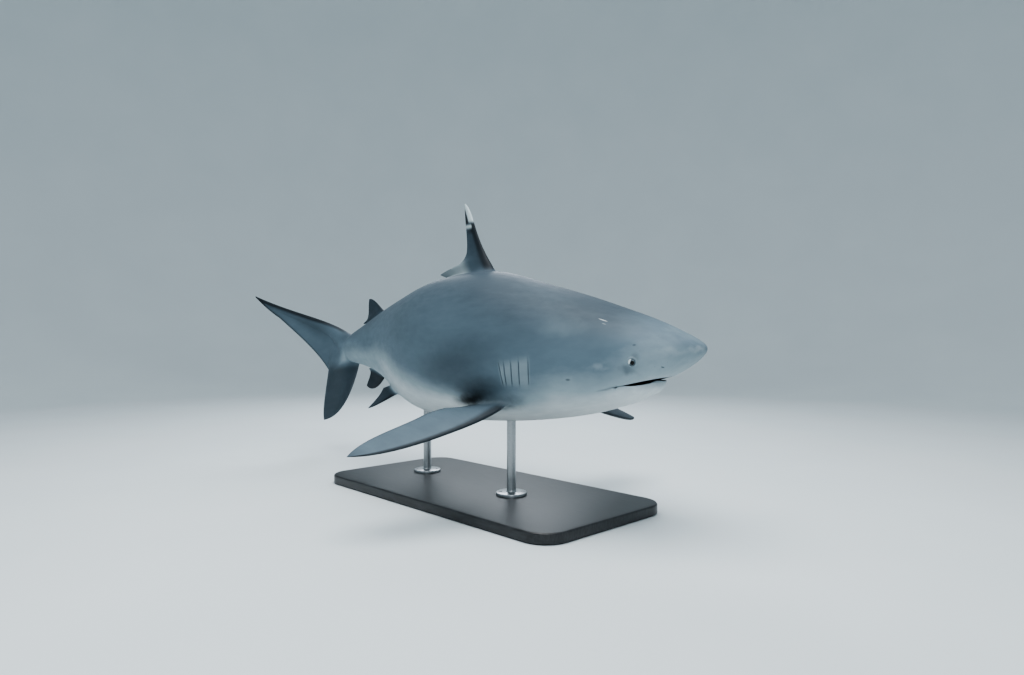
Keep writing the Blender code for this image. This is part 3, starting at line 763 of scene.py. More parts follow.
# %% Slit and nostril cutters
SLIT_HALF, SLIT_DEPTH = 0.032, 0.30       # stations
CUT_ABOVE = 0.7                           # how far a cutter stands out of the skin


def slit_cutter(number, side, rows=27):
    """Loops of a blade: outside the skin it is wide, inside it narrows to an edge."""
    t = np.linspace(-1, 1, rows)
    level = GILL_LEVEL + GILL_HALF * t
    station = gill_line(number, level)
    skin_at = flank_point(station, level, side)
    ahead = flank_point(station - 0.3, level, side) - skin_at
    ahead /= np.linalg.norm(ahead, axis=1)[:, None]
    above = flank_point(station, level + 0.3, side) - skin_at
    outward = np.cross(above, ahead) * side
    outward /= np.linalg.norm(outward, axis=1)[:, None]
    taper = np.sqrt(np.clip(1 - t ** 2, 0, 1)) * 0.97 + 0.03
    width, depth = SLIT_HALF * taper[:, None], SLIT_DEPTH * taper[:, None]
    inner = skin_at - outward * depth + ahead * depth * 0.5
    high = skin_at + outward * CUT_ABOVE
    loops = np.stack([high + ahead * width, skin_at + ahead * width, inner,
                      skin_at - ahead * width, high - ahead * width], 1)
    return loop_solid("slit", bend(loops))


def nostril_cutter(side):
    """A slanting lens-shaped slot below the side of the snout."""
    t = np.linspace(-1, 1, 18)
    skin_at = flank_point(3.35 - 0.22 * t, -1.72 - 0.13 * t + 0.05 * t ** 2, side)
    centre = skin_at.mean(0)
    outward = np.array((-0.25, side * 0.55, -0.8))
    outward /= np.linalg.norm(outward)
    line = skin_at[-1] - skin_at[0]
    across = np.cross(outward, line / np.linalg.norm(line))
    a = np.linspace(0, 2 * np.pi, 12, endpoint=False)
    taper = np.sqrt(np.clip(1 - t ** 2, 0, 1)) * 0.95 + 0.05
    middle = centre + t[:, None] * line / 4
    loops = (middle[:, None, :] + (np.cos(a)[None, :, None] * across * 0.07
             + np.sin(a)[None, :, None] * outward * 0.42) * taper[:, None, None])
    return loop_solid("nostril", bend(loops))


slots = [slit_cutter(k, side) for k in range(5) for side in (RIGHT, LEFT)]
slots += [nostril_cutter(side) for side in (RIGHT, LEFT)]

# %% Put the skin together
for _ in range(TAIL + 1):
    skin.data.materials.append(None)
hollows = [palate_cutter(), join("sockets", sockets)]
boolean(skin, join("hollows", hollows, first_index=PALATE), "DIFFERENCE")
growths = fins + [jaw, join("lids", lid_pieces)]
boolean(skin, join("growths", growths, first_index=D1), "UNION")
boolean(skin, join("slots", [join("slits", slots)], first_index=SLIT), "DIFFERENCE")

# %% [markdown]
# ## Soft fillets
#
# Where a fin meets the body, living skin runs over in a curve.  The union leaves a sharp
# crease, so the points near each crease are moved, again and again, a little towards the
# average of their neighbours.  Farther off nothing moves.  A voxel remesh would also round
# the creases, but it would fill the slits and dull the fins' edges.

# %% Read a mesh
def mesh_arrays(mesh):
    """Points (n, 3) and edges (m, 2) of a mesh."""
    points = np.empty(len(mesh.vertices) * 3)
    mesh.vertices.foreach_get("co", points)
    edges = np.empty(len(mesh.edges) * 2, int)
    mesh.edges.foreach_get("vertices", edges)
    return points.reshape(-1, 3), edges.reshape(-1, 2)


def vertex_origins(mesh):
    """For each vertex, which source pieces its faces came from (rows of a truth table)."""
    owner = np.empty(len(mesh.polygons), int)
    mesh.polygons.foreach_get("material_index", owner)
    count = np.empty(len(mesh.polygons), int)
    mesh.polygons.foreach_get("loop_total", count)
    corner = np.empty(len(mesh.loops), int)
    mesh.loops.foreach_get("vertex_index", corner)
    table = np.zeros((len(mesh.vertices), TAIL + 1), bool)
    table[corner, np.repeat(owner, count)] = True
    return table


def search_tree(points):
    """A tree that finds the nearest of the points."""
    tree = KDTree(len(points))
    for k, p in enumerate(points):
        tree.insert(p, k)
    tree.balance()
    return tree


def distance_to(points, targets, farthest=0.06):
    """Distance to the nearest target; points outside their box by `farthest` stay at 1 m."""
    far = np.full(len(points), 1.0)
    if len(targets) == 0:
        return far
    tree = search_tree(targets)
    low, high = targets.min(0) - farthest, targets.max(0) + farthest
    close = np.nonzero(((points > low) & (points < high)).all(1))[0]
    far[close] = [tree.find(points[k])[2] for k in close]
    return far


# %% Finer faces near a crease, and repairs
def refine(mesh, numbers, reach, longest):
    """Halve the edges longer than `longest` that lie within `reach` of a crease."""
    points, edges = mesh_arrays(mesh)
    origins = vertex_origins(mesh)
    on_crease = origins[:, 0] & origins[:, numbers].any(1)
    near = distance_to(points, points[on_crease]) < reach
    span = np.linalg.norm(points[edges[:, 0]] - points[edges[:, 1]], axis=1)
    built = bmesh.new()
    built.from_mesh(mesh)
    built.edges.ensure_lookup_table()
    chosen = [built.edges[k] for k in np.nonzero(near[edges].all(1) & (span > longest))[0]]
    bmesh.ops.subdivide_edges(built, edges=chosen, cuts=1, use_grid_fill=True)
    bmesh.ops.triangulate(built, faces=[f for f in built.faces if len(f.verts) > 4])
    built.to_mesh(mesh)
    built.free()


def mend(mesh):
    """Remove faces that lie on each other, then close the small holes the cuts have left."""
    built = bmesh.new()
    built.from_mesh(mesh)
    same = {}
    for face in built.faces:
        same.setdefault(frozenset(corner.index for corner in face.verts), []).append(face)
    doubled = [face for group in same.values() if len(group) > 1 for face in group]
    bmesh.ops.delete(built, geom=doubled, context="FACES_ONLY")
    bare = [edge for edge in built.edges if not edge.link_faces]
    bmesh.ops.delete(built, geom=bare, context="EDGES")
    rims = [edge for edge in built.edges if len(edge.link_faces) == 1]
    bmesh.ops.holes_fill(built, edges=rims, sides=6)
    print("faces removed:", len(doubled), "rim edges closed:", len(rims),
          "left open:", sum(len(edge.link_faces) == 1 for edge in built.edges))
    built.to_mesh(mesh)
    built.free()


# %% Relax the creases
def relax(points, edges, weight, rounds):
    """Each round: point += 0.5 weight (mean of neighbours - point)."""
    n = len(points)
    degree = np.bincount(edges.ravel(), minlength=n)[:, None]
    for _ in range(rounds):
        total = np.stack([np.bincount(edges[:, 0], points[edges[:, 1], k], n)
                          + np.bincount(edges[:, 1], points[edges[:, 0], k], n)
                          for k in range(3)], 1)
        points = points + 0.5 * weight[:, None] * (total / degree - points)
    return points


# pieces, reach of the fillet in metres, rounds; the first two need finer faces
FILLETS = (((PR, PL), 0.050, 40), ((D1,), 0.030, 24), ((D2, AN, VR, VL), 0.016, 12),
           ((JAW,), 0.016, 24), ((LIDS,), 0.004, 4))
LONGEST_EDGES = (0.016, 0.009, 0.006)
CHEEK_STATION = 9.9         # behind it the jaw blends into the cheek over a wider strip
for numbers, reach, rounds in FILLETS[:2]:
    for longest in LONGEST_EDGES:
        refine(skin.data, numbers, reach, longest)
mend(skin.data)
points, edges = mesh_arrays(skin.data)
origins = vertex_origins(skin.data)
slit_free = ease(0.003, 0.012, distance_to(points, points[origins[:, SLIT]]))
for numbers, reach, rounds in FILLETS:
    on_crease = origins[:, 0] & origins[:, numbers].any(1)
    away = distance_to(points, points[on_crease])
    points = relax(points, edges, slit_free * (1 - ease(0.2 * reach, reach, away)), rounds)
cheek = origins[:, 0] & origins[:, JAW] & (straighten(points)[:, 0] > CHEEK_STATION)
points = relax(points, edges, 1 - ease(0.008, 0.030, distance_to(points, points[cheek])), 24)
skin.data.vertices.foreach_set("co", points.ravel())
skin.data.update()
print("skin:", len(points), "points;", int(origins[:, SLIT].sum()), "of them in the slits")

# %% [markdown]
# ## Where each point lies
#
# The colours of a shark follow its anatomy: dark back, pale belly, dusky fin edges.  So
# every point of the finished skin is looked up again.  Undoing the bend gives its station,
# left and up; for a fin, the nearest point of the fin's own grid gives its share of the
# chord and of the span.  The paint is worked out from both, and it is stored on the mesh
# with the station, left and up, for the materials to read.

# %% Look the points up
points, edges = mesh_arrays(skin.data)
straight = straighten(points)
station, left_of, level = straight.T


def looked_up(number):
    """Chord share, span share and face of the points that come from one piece."""
    chosen = np.nonzero(origins[:, number])[0]
    source, data = NOTES[number]
    tree = search_tree(source)
    return chosen, data[[tree.find(points[k])[1] for k in chosen]].T


origins[:, TAIL] = origins[:, 0] & (station > CAUDAL - 0.3)

# %% [markdown]
# ## Countershading
#
# Seen from above a shark is as dark as the depth, from below as pale as the sky.  The
# border is a soft line that is high on the snout, sinks to the root of the pectoral fin
# and climbs again to the tail.

# %% Tone of the body: 0 belly, 1 back
EDGE_STATION = (0, 5, 10, 15, 19, 24, 29, 34, 40, 45, 50, 57, 66, 100)
EDGE_LEVEL = (-2.4, -3.4, -4.0, -4.1, -5.2, -5.8, -4.8, -4.2, -3.6, -2.6, -1.2, -0.6, -0.5, -0.5)
EDGE_WIDTH = (1.2, 2.0, 3.0, 3.2, 2.7, 2.0, 1.8, 1.9, 2.3, 2.7, 2.4, 1.6, 1.3, 1.3)


def body_tone(s, z):
    """A soft step at the border, then a slow climb to the back; the snout is paler."""
    edge = fair(EDGE_STATION, EDGE_LEVEL, np.clip(s, 0, 100))
    width = np.interp(s, EDGE_STATION, EDGE_WIDTH)
    back = body_lines(s)[0]
    least = np.interp(s, (30, 42, 54, 70), (0, 0.12, 0.42, 0.55))
    step = least + (1 - least) * ease(edge - width, edge + width, z)
    return (0.62 * step + 0.38 * ease(edge + width, back, z)) * (0.56 + 0.44 * ease(3.0, 10.5, s))


tone = body_tone(station, level)
dusk_and_shade = np.zeros(len(points))
pale_and_lit = np.zeros(len(points))
print("mean tone of the body: %.2f" % tone.mean())

# %% [markdown]
# ## Colours of the fins
#
# A shark's fins are dusky where they meet the water first and where they leave it: along
# the leading edge, the rear rim and the tip.  Each fin's colours are worked out from its
# own chord and span, and fade into the body's colours at the root.

# %% How a fin's own colours join the body's
def from_root(number, chosen, reach):
    """0 on the crease where the piece meets the body, 1 from `reach` metres away on."""
    crease = points[origins[:, 0] & origins[:, number]]
    return ease(0.0, reach, distance_to(points[chosen], crease))


def paint(new_tone, new_dusk_and_shade, blend, chosen):
    """Mix a fin's own colours in, from none at the body to all where blend is 1."""
    tone[chosen] = tone[chosen] * (1 - blend) + new_tone * blend
    dusk_and_shade[chosen] = np.maximum(dusk_and_shade[chosen], new_dusk_and_shade * blend)


# %% First dorsal fin: a dark front edge, a pale strip near the tip and a white bar
chosen = np.nonzero(origins[:, D1])[0]
edge = bezier(DORSAL_1["lead"], np.linspace(0, 1, 60))
height = level[chosen] - body_lines(np.array([D1_STATION]))[0][0]
behind = station[chosen] - D1_STATION - np.interp(height, edge[:, 1], edge[:, 0])
wide = 0.75 + 0.08 * (6.6 - np.clip(height, 0, 6.6))
band = (1 - ease(0.6 * wide, 1.3 * wide, behind)) * (1 - ease(6.7, 7.2, height))
strip = (1 - ease(0.75, 1.05, behind)) * ease(6.9, 7.4, height)
shade = ease(0.8, 1.1, behind) * (1 - ease(1.5, 2.2, behind)) * ease(6.5, 7.1, height)
bar = bump(6.5, 0.32, height) * ease(0.35, 0.65, behind)
spot = bump(5.8, 0.5, height) * ease(0.2, 0.6, behind) * (1 - ease(1.4, 2.4, behind))
flap = ease(3.4, 6.2, behind) * (1 - ease(1.2, 2.6, height))
paint(0.95, (0.32 * ease(0.2, 1.2, height) * (1 - ease(0.5, 3.5, behind) * 0.5)
             + 0.75 * band + 0.8 * shade + 0.6 * spot)
      * (1 - flap) * (1 - bar), from_root(D1, chosen, 0.020), chosen)
pale_and_lit[chosen] = np.maximum(np.maximum(0.80 * strip, 0.95 * bar), 0.34 * flap)
print("first dorsal fin: height up to %.1f stations" % height.max())

# %% The other fins
# Second dorsal and anal fin: dusky all over, darker at the rim, soft at the free rear tip.
# The anal fin's deeper dusk is partly its dusky colour, partly painted shade.
for number, depth in ((D2, 0.50), (AN, 0.80)):
    chosen, (u, v, face) = looked_up(number)
    rim = np.maximum(1 - ease(0.0, 0.12, u), ease(0.86, 0.98, u))
    tip = ease(0.6, 0.95, u) * (1 - ease(0.1, 0.35, v))
    paint(1.0, (depth + 0.35 * rim) * (1 - tip), from_root(number, chosen, 0.022), chosen)

# Pectoral fins: dark leading edge and tip; the left one gets painted shade all over.
for number, least in ((PR, 0.1), (PL, 0.75)):
    chosen, (u, v, face) = looked_up(number)
    top = face > -0.5
    lead = 1 - ease(0.03, 0.20 - 0.08 * ease(0.1, 0.5, v), u)
    under = 1 - ease(0.01, 0.05, u)
    trail = ease(0.90, 0.985, u)
    tip = ease(0.86, 1.0, v)
    paint(np.where(top, 0.70, 0.10),
          np.where(top, np.maximum(0.95 * lead, least) + 0.45 * trail + 0.35 * tip,
                   np.maximum(0.9 * under, 0.35 * trail + 0.75 * tip)),
          from_root(number, chosen, 0.030), chosen)

# Pelvic fins: dark outside, partly dusky colour and partly painted shade; pale inside.
for number in (VR, VL):
    chosen, (u, v, face) = looked_up(number)
    outer = face > -0.5
    rim = np.maximum(1 - ease(0.0, 0.1, u), ease(0.86, 0.98, u))
    paint(np.where(outer, 1.0, 0.2),
          np.where(outer, 0.65 + 0.35 * rim, 0.4 * ease(0.6, 1, v)),
          from_root(number, chosen, 0.022), chosen)

# %% Tail fin
chosen, (down, q, face) = looked_up(TAIL)
upper, lower = tail_ribs(np.clip(q, 0, 1))
length = np.linalg.norm(lower - upper, axis=1)
wide = 0.42 + 0.6 * ease(0.3, 0.8, q)
top_margin = (1 - ease(0.15 * wide, wide, down * length)) * ease(0.02, 0.12, q)
rear_margin = (1 - ease(0.0, 0.6, (1 - down) * length)) * ease(RIB_LOWER_TIP, 0.4, q)
low = ease(-1.5, -3.6, level[chosen])
lobe = low * (1 - ease(RIB_LOWER_TIP, RIB_FORK, q))
cloud = bump(0.25, 0.45, down) * bump(0.70, 0.25, q)
paint(0.74, 0.95 * top_margin + 0.7 * rear_margin + 0.66 * lobe + 0.42 * cloud
      + 0.4 * ease(0.8, 1, q), np.maximum(ease(0.02, 0.3, q), low), chosen)
print("tail fin points:", len(chosen))

# %% [markdown]
# ## Colours of the openings
#
# Hardly any light gets into a mouth or a socket.  The studio's soft light would still
# reach in, so the inside is painted nearly black, and the colour fades out where the
# opening closes.  The gill covers get painted light, paler than the flank, and each slit
# a thin line of painted shade.

# %% Painted light on the gill covers, painted shade in the slits
roof = -0.15 - 0.17 * (station - 18)      # the pale window ends a little lower behind
tall = ease(roof + 0.5, roof - 0.7, level) * ease(-3.9, -2.9, level)
slit_first, slit_last = gill_line(0, level), gill_line(4, level)
# Between the slits the covers are paler: painted light caught by their raised edges.
lit_covers = (ease(slit_first - 0.35, slit_first + 0.05, station)
          * (1 - ease(slit_last - 0.05, slit_last + 0.35, station)) * tall)
# A thin dark line at each slit: painted shade in the slit.
away = np.min([np.abs(station - gill_line(k, level)) for k in range(5)], axis=0)
line = (1 - ease(0.03, 0.14, away)) * tall
flank = (origins[:, 0] | origins[:, SLIT]) & (np.abs(left_of) > 4)
pale_and_lit = np.where(flank, np.maximum(pale_and_lit, 0.20 * lit_covers * (1 - line)), pale_and_lit)
dusk_and_shade = np.where(flank, np.maximum(dusk_and_shade, 0.22 * line), dusk_and_shade)
print("gill cover points:", int((flank & (lit_covers > 0.5)).sum()))

# %% The dark inside of every opening
HOLLOW_FADE = (6.7, 8.2)    # behind the open front the mouth line softens
hollow = np.zeros(len(points))
hollow[origins[:, SOCKET]] = 1
hollow[origins[:, SLIT]] = 0.15
hollow[origins[:, PALATE]] = ease(5.5, 5.8, station[origins[:, PALATE]])
hollow[origins[:, (0, LIDS)].any(1)] = 0
chosen, (_, _, inside_jaw) = looked_up(JAW)
hollow[chosen] = np.where(inside_jaw > 0.5, ease(5.83, 5.98, station[chosen]), 0.0)
mouth = origins[:, PALATE] | origins[:, JAW]
hollow[mouth] *= 1 - 0.9 * ease(HOLLOW_FADE[0], HOLLOW_FADE[1], station[mouth])
# Behind the open front a soft dark line runs where the lips meet: painted shade in the crease.
lip_crease_shade = (1 - ease(0.03, 0.15, np.abs(level - lip_plane(station)))) * (np.abs(left_of) > 3)
lip_crease_shade = lip_crease_shade * ease(7.6, 8.6, station) * (1 - ease(9.2, 11.0, station))
dusk_and_shade = np.where(origins[:, 0] | origins[:, JAW], np.maximum(dusk_and_shade, 0.5 * lip_crease_shade), dusk_and_shade)
print("tone %.2f to %.2f, hollow points %d" % (tone.min(), tone.max(), hollow.sum()))


# %% Store them on the mesh
def store(mesh, name, kind, key, values):
    """Keep one value per point on the mesh, under a name that a material can read."""
    layer = mesh.attributes.new(name, kind, "POINT")
    layer.data.foreach_set(key, np.asarray(values, np.float32).ravel())


store(skin.data, "place", "FLOAT_VECTOR", "vector", straight * PCT)
# Dusk carries the fins' dusky colour and the painted shade; pale carries pale marks and the painted
# light.
store(skin.data, "paint", "FLOAT_VECTOR", "vector", np.stack([tone, dusk_and_shade, pale_and_lit], 1))
store(skin.data, "hollow", "FLOAT", "value", hollow)
skin.data.polygons.foreach_set("material_index", np.zeros(len(skin.data.polygons), np.int32))
skin.data.materials.clear()
smooth(skin.data, 48)
triangles = sum(len(p.vertices) - 2 for p in skin.data.polygons)
print("skin triangles:", triangles)

# %% [markdown]
# ## A small hand for materials
#
# Every finish below is a short chain of nodes.  They could be clicked together, but written
# down they can be read and changed in one place.  One helper adds a node, sets what it is
# told and links what it is given, and one turns a colour as seen on a screen into light.

# %% Node and colour helpers
COLOURS = {"data_type": "RGBA"}                     # for a Mix: share 0, colours 6 and 7, result 2
EASED = {"interpolation_type": "SMOOTHSTEP"}        # for a MapRange from 1 to 2: 3t^2 - 2t^3


def feed(node, inputs):
    """Give a node its inputs: other nodes' outputs are linked, plain values are set."""
    for socket, value in inputs.items():
        if isinstance(value, bpy.types.NodeSocket):
            node.id_data.links.new(value, node.inputs[socket])
        else:
            node.inputs[socket].default_value = value


def add(tree, kind, inputs, out=0, **settings):
    """Add a shader node with its settings and inputs, and hand back one of its outputs."""
    made = tree.nodes.new("ShaderNode" + kind)
    for key, value in settings.items():
        setattr(made, key, value)
    feed(made, inputs)
    return made.outputs[out]


def colour(code):
    """sRGB hex to linear: c/12.92 below 0.04045, else ((c + 0.055) / 1.055)^2.4."""
    srgb = np.array([int(code[k:k + 2], 16) for k in (1, 3, 5)]) / 255
    linear = np.where(srgb <= 0.04045, srgb / 12.92, ((srgb + 0.055) / 1.055) ** 2.4)
    return (*linear.tolist(), 1.0)


def finish(name):
    """An empty material with its shader and output."""
    made = bpy.data.materials.new(name)
    made.use_nodes = True
    tree = made.node_tree
    tree.nodes.clear()
    shader = tree.nodes.new("ShaderNodeBsdfPrincipled")
    output = tree.nodes.new("ShaderNodeOutputMaterial")
    tree.links.new(shader.outputs[0], output.inputs[0])
    return made, tree, shader


print("a screen grey of 128 is", round(colour("#808080")[0], 3), "of white in light")

# %% [markdown]
# ## Shark skin
#
# Shark skin is covered in denticles, tiny enamel teeth half a millimetre wide that point
# backwards.  Dry or wet it looks satin, not wet like a fish's slime.  The paint is four
# tones laid along the countershading, broken by soft clouds that are drawn out along the
# body, with dusky fin edges, a few marks and scars, and pores on the snout.  Some marks
# are painted shade round the pectoral fin and painted light on the snout.  A painted
# picture could carry all this, but tones that are worked out stay sharp at any distance.

# %% Shark skin: tone, clouds and fin edges
skin_finish, tree, shader = finish("shark_skin_denticled_satin")
place = add(tree, "Attribute", {}, "Vector", attribute_name="place")
painted = add(tree, "Attribute", {}, "Vector", attribute_name="paint")
inside = add(tree, "Attribute", {}, "Fac", attribute_name="hollow")
shares = add(tree, "SeparateXYZ", {0: painted}).node.outputs
drawn_out = add(tree, "VectorMath", {0: place, 1: (0.4, 1.0, 1.0)}, operation="MULTIPLY")

# Noise lumps in metres: clouds, grain, skin folds, and the denticles, which are drawn 3 mm
# coarse, or they would not show at all at this distance.
broad, fine, folds, denticles = (
    add(tree, "TexNoise", {"Vector": where, "Scale": 1 / size, "Detail": detail, "Roughness": 0.55})
    for where, size, detail in ((drawn_out, 0.16, 3.0), (drawn_out, 0.022, 3.0),
                                (drawn_out, 0.045, 2.0), (place, 0.003, 2.0)))
drift = add(tree, "Math", {0: broad, 1: 0.30, 2: -0.15}, operation="MULTIPLY_ADD")
grain = add(tree, "Math", {0: fine, 1: 0.12, 2: -0.06}, operation="MULTIPLY_ADD")
toned = add(tree, "Math", {0: shares[0], 1: drift}, operation="ADD")
toned = add(tree, "Math", {0: toned, 1: grain}, operation="ADD")
surface = add(tree, "ValToRGB", {0: toned})
ramp = surface.node.color_ramp
STOPS = ((0.0, "#DDE2E3"), (0.28, "#96A5AC"), (0.60, "#5E6F7A"), (1.0, "#394751"))
while len(ramp.elements) < len(STOPS):
    ramp.elements.new(0.5)
for stop, (position, code) in zip(ramp.elements, STOPS):
    stop.position, stop.color = position, colour(code)
# The second share is dusky colour and painted shade, the third pale marks and painted light.
dusky = add(tree, "Math", {0: shares[1], 1: 0.95}, operation="MULTIPLY")
surface = add(tree, "Mix", {0: dusky, 6: surface, 7: colour("#161E24")}, 2, **COLOURS)
surface = add(tree, "Mix", {0: shares[2], 6: surface, 7: colour("#C3D0D2")}, 2, **COLOURS)
print("tones from belly to back:", [code for _, code in STOPS])

# %% Shark skin: spots, scars, painted shade and painted light
# Larger spots follow a coordinate shaken by up to 12 mm, so that their outlines are ragged.
shake = add(tree, "TexNoise", {"Vector": place, "Scale": 1 / 0.03, "Detail": 3.0}, 1)
shaken = add(tree, "VectorMath", {0: shake, 1: (0.5, 0.5, 0.5)}, operation="SUBTRACT")
ragged = add(tree, "VectorMath", {0: shaken, 1: (0.05, 0.05, 0.03), 2: place},
             operation="MULTIPLY_ADD")


def mark(base, at, reach, code, strength, edge, tilt):
    """A soft spot: an ellipsoid of half axes `reach` about `at`, in stations; tilt in degrees."""
    where = ragged if reach[0] > 0.8 else place
    off = add(tree, "VectorMath", {0: where, 1: tuple(np.array(at) * PCT)}, operation="SUBTRACT")
    if tilt:
        off = add(tree, "VectorRotate", {"Vector": off, "Angle": math.radians(tilt)},
                  rotation_type="Y_AXIS")
    scaled = add(tree, "VectorMath", {0: off, 1: tuple(1 / (np.array(reach) * PCT))},
                 operation="MULTIPLY")
    far = add(tree, "VectorMath", {0: scaled}, "Value", operation="LENGTH")
    near = add(tree, "MapRange", {0: far, 1: 1.0, 2: edge}, **EASED)
    share = add(tree, "Math", {0: near, 1: strength}, operation="MULTIPLY")
    return add(tree, "Mix", {0: share, 6: base, 7: colour(code)}, 2, **COLOURS)


# middle, half axes, colour, strength, where full strength starts, tilt
MARKS = (
    # The next four marks are painted shade round the pectoral fin; the armpit's is a painted shadow.
    ((28.8, -8.2, -0.8), (10.0, 5.0, 4.6), "#222C34", 0.52, 0.0, -12),      # dark flank
    ((25.0, -7.5, -3.9), (5.4, 3.4, 2.7), "#171E24", 0.66, 0.0, -6),        # over the fin
    ((27.3, -7.3, -5.4), (4.6, 2.8, 1.35), "#0B0F12", 0.95, 0.1, -14),      # armpit
    ((22.4, -6.6, -5.45), (4.4, 3.4, 1.55), "#36434C", 0.66, 0.0, -8),      # before the fin
    # The next two marks are painted light on the snout's side and tip.
    ((2.3, -3.4, -0.1), (2.8, 2.8, 0.6), "#A7B3B9", 0.30, 0.0, 6),          # pale snout side
    ((0.5, -1.0, -0.05), (1.5, 2.2, 0.55), "#A7B3B9", 0.55, 0.0, 0),        # pale snout tip
    ((14.0, -6.3, 3.0), (4.5, 4.0, 1.6), "#84949C", 0.18, 0.0, 6),          # neck
    ((6.45, -5.4, -1.9), (1.45, 2.0, 0.85), "#26313A", 0.50, 0.0, 10),      # under the eye
    ((5.6, -5.2, -0.45), (0.65, 2.0, 0.70), "#26313A", 0.36, 0.0, 0),       # over the eye
    ((9.6, -6.4, -1.45), (1.35, 2.0, 0.48), "#A9B6BC", 0.28, 0.0, 4),       # cheek
    ((13.1, -6.9, -2.75), (0.95, 2.0, 0.60), "#93A1A8", 0.30, 0.0, 0),      # halo of a spot
    ((13.1, -6.9, -2.75), (0.42, 2.0, 0.20), "#333F47", 0.70, 0.2, 0),      # the spot
    ((5.72, -5.07, 0.78), (0.26, 2.0, 0.15), "#26313A", 0.70, 0.1, 0),      # spot on the brow
    ((9.80, -4.4, 3.65), (0.72, 2.0, 0.042), "#D6DDDF", 0.80, 0.4, 20),     # long scratch
    ((9.50, -4.8, 3.22), (0.34, 2.0, 0.05), "#AEBBC0", 0.35, 0.4, 20))      # short scratch
for spot in MARKS:
    surface = mark(surface, *spot)
print("marks on the right side:", len(MARKS))

# %% Shark skin: pores, hollows and gloss
# Pores of the electric sense, a millimetre and a half wide, on the snout and round the eye.
cells = add(tree, "TexVoronoi", {"Vector": place, "Scale": 1 / 0.011, "Randomness": 0.9}, "Distance")
pore = add(tree, "MapRange", {0: cells, 1: 0.10, 2: 0.06}, **EASED)
along_body = add(tree, "SeparateXYZ", {0: place})
snout = add(tree, "MapRange", {0: along_body, 1: 9.0 * PCT, 2: 3.0 * PCT}, **EASED)
pore = add(tree, "Math", {0: pore, 1: snout}, operation="MULTIPLY")
pore = add(tree, "Math", {0: pore, 1: 0.45}, operation="MULTIPLY")
surface = add(tree, "Mix", {0: pore, 6: surface, 7: colour("#2A353B")}, 2, **COLOURS)
deep = add(tree, "MapRange", {0: inside, 1: 0.0, 2: 0.8}, **EASED)
surface = add(tree, "Mix", {0: deep, 6: surface, 7: colour("#15171A")}, 2, **COLOURS)

# Satin: the roughness wavers with the grain, so that a highlight on the back is never even.
height = add(tree, "Math", {0: denticles, 1: 0.35}, operation="MULTIPLY")
height = add(tree, "Math", {0: height, 1: folds}, operation="ADD")
bumped = add(tree, "Bump", {"Height": height, "Strength": 0.35, "Distance": 0.0022})
gloss = add(tree, "MapRange", {0: fine, 3: 0.50, 4: 0.64})
feed(shader, {"Base Color": surface, "Normal": bumped, "Roughness": gloss, "IOR": 1.45,
              "Specular IOR Level": 0.30})
skin.data.materials.append(skin_finish)
print("skin finish nodes:", len(tree.nodes))

# %% Put the skin in place of the flesh solids
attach(skin, "root")
flesh = [n for n in frame["nodes"] if not n.startswith(("eye_", "stand_"))]
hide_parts(*flesh)

# %% [markdown]
# ## Eyes
#
# A bull shark's eye is small and round, with a pale iris and a black pupil.  Each is one
# polished ball; the paint is laid by the angle from the pupil, and a low roughness makes
# the wet gleam.

# %% Eyeballs
PUPIL_TURN = (0.10, -0.06)                # the pupil looks a little ahead and down
eye_finish, tree, shader = finish("eye_painted_glass")
iris = add(tree, "Attribute", {}, "Vector", attribute_name="iris")
reach = add(tree, "VectorMath", {0: iris}, "Value", operation="LENGTH")
streaks = add(tree, "TexNoise", {"Vector": iris, "Scale": 14.0, "Detail": 3.0})
wobble = add(tree, "Math", {0: streaks, 1: 0.05, 2: -0.025}, operation="MULTIPLY_ADD")
reach = add(tree, "Math", {0: reach, 1: wobble}, operation="ADD")
behind = add(tree, "SeparateXYZ", {0: iris})
# Streaky grey in front, a painted highlight as a pale crescent behind, and the pupil 0.33 radians
# wide.
ring = add(tree, "Mix", {0: streaks, 6: colour("#46525A"), 7: colour("#5F6C72")}, 2, **COLOURS)
painted_glint = add(tree, "MapRange", {0: behind, 1: 0.30, 2: 0.44}, **EASED)
ring = add(tree, "Mix", {0: painted_glint, 6: ring, 7: colour("#D7DEDD")}, 2, **COLOURS)
black = add(tree, "MapRange", {0: reach, 1: 0.35, 2: 0.31}, **EASED)
ring = add(tree, "Mix", {0: black, 6: ring, 7: colour("#030405")}, 2, **COLOURS)
feed(shader, {"Base Color": ring, "Roughness": 0.18, "IOR": 1.34})

for side, name in ((RIGHT, "right"), (LEFT, "left")):
    centre, gaze = eye_frame(side)
    rows = turned(arc_profile(EYE_RADIUS, 0.4, 179.6, 56), centre, gaze, 64)
    ball = loop_solid("eyeball_" + name, rows)
    out = (mesh_arrays(ball.data)[0] - centre) / EYE_RADIUS
    ahead = along(FORWARD, EYE_STATION)
    pupil = gaze + PUPIL_TURN[0] * ahead + PUPIL_TURN[1] * np.array((0, 0, 1))
    pupil /= np.linalg.norm(pupil)
    flat = out - (out @ pupil)[:, None] * pupil
    angle = np.arccos(np.clip(out @ pupil, -1, 1))
    flat *= (angle / (np.linalg.norm(flat, axis=1) + 1e-9))[:, None]
    rear = np.array((0, 0, 0.45)) - ahead
    rear -= (rear @ pupil) * pupil
    rear /= np.linalg.norm(rear)
    flat = np.stack([flat @ rear, flat @ np.cross(pupil, rear), flat @ pupil], 1)
    store(ball.data, "iris", "FLOAT_VECTOR", "vector", flat)
    smooth(ball.data)
    ball.data.materials.append(eye_finish)
    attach(ball, "root")
    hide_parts("eye_" + name)
    print(ball.name, "centre", np.round(centre, 4))

# %% [markdown]
# ## Stand
#
# The model hangs over a low lacquered base on two steel rods, screwed down through turned
# flanges.  The base's sizes come from its solid.  Its edge is a quarter round, and it
# stands on a recess, so that it seems to float a few millimetres off the floor.

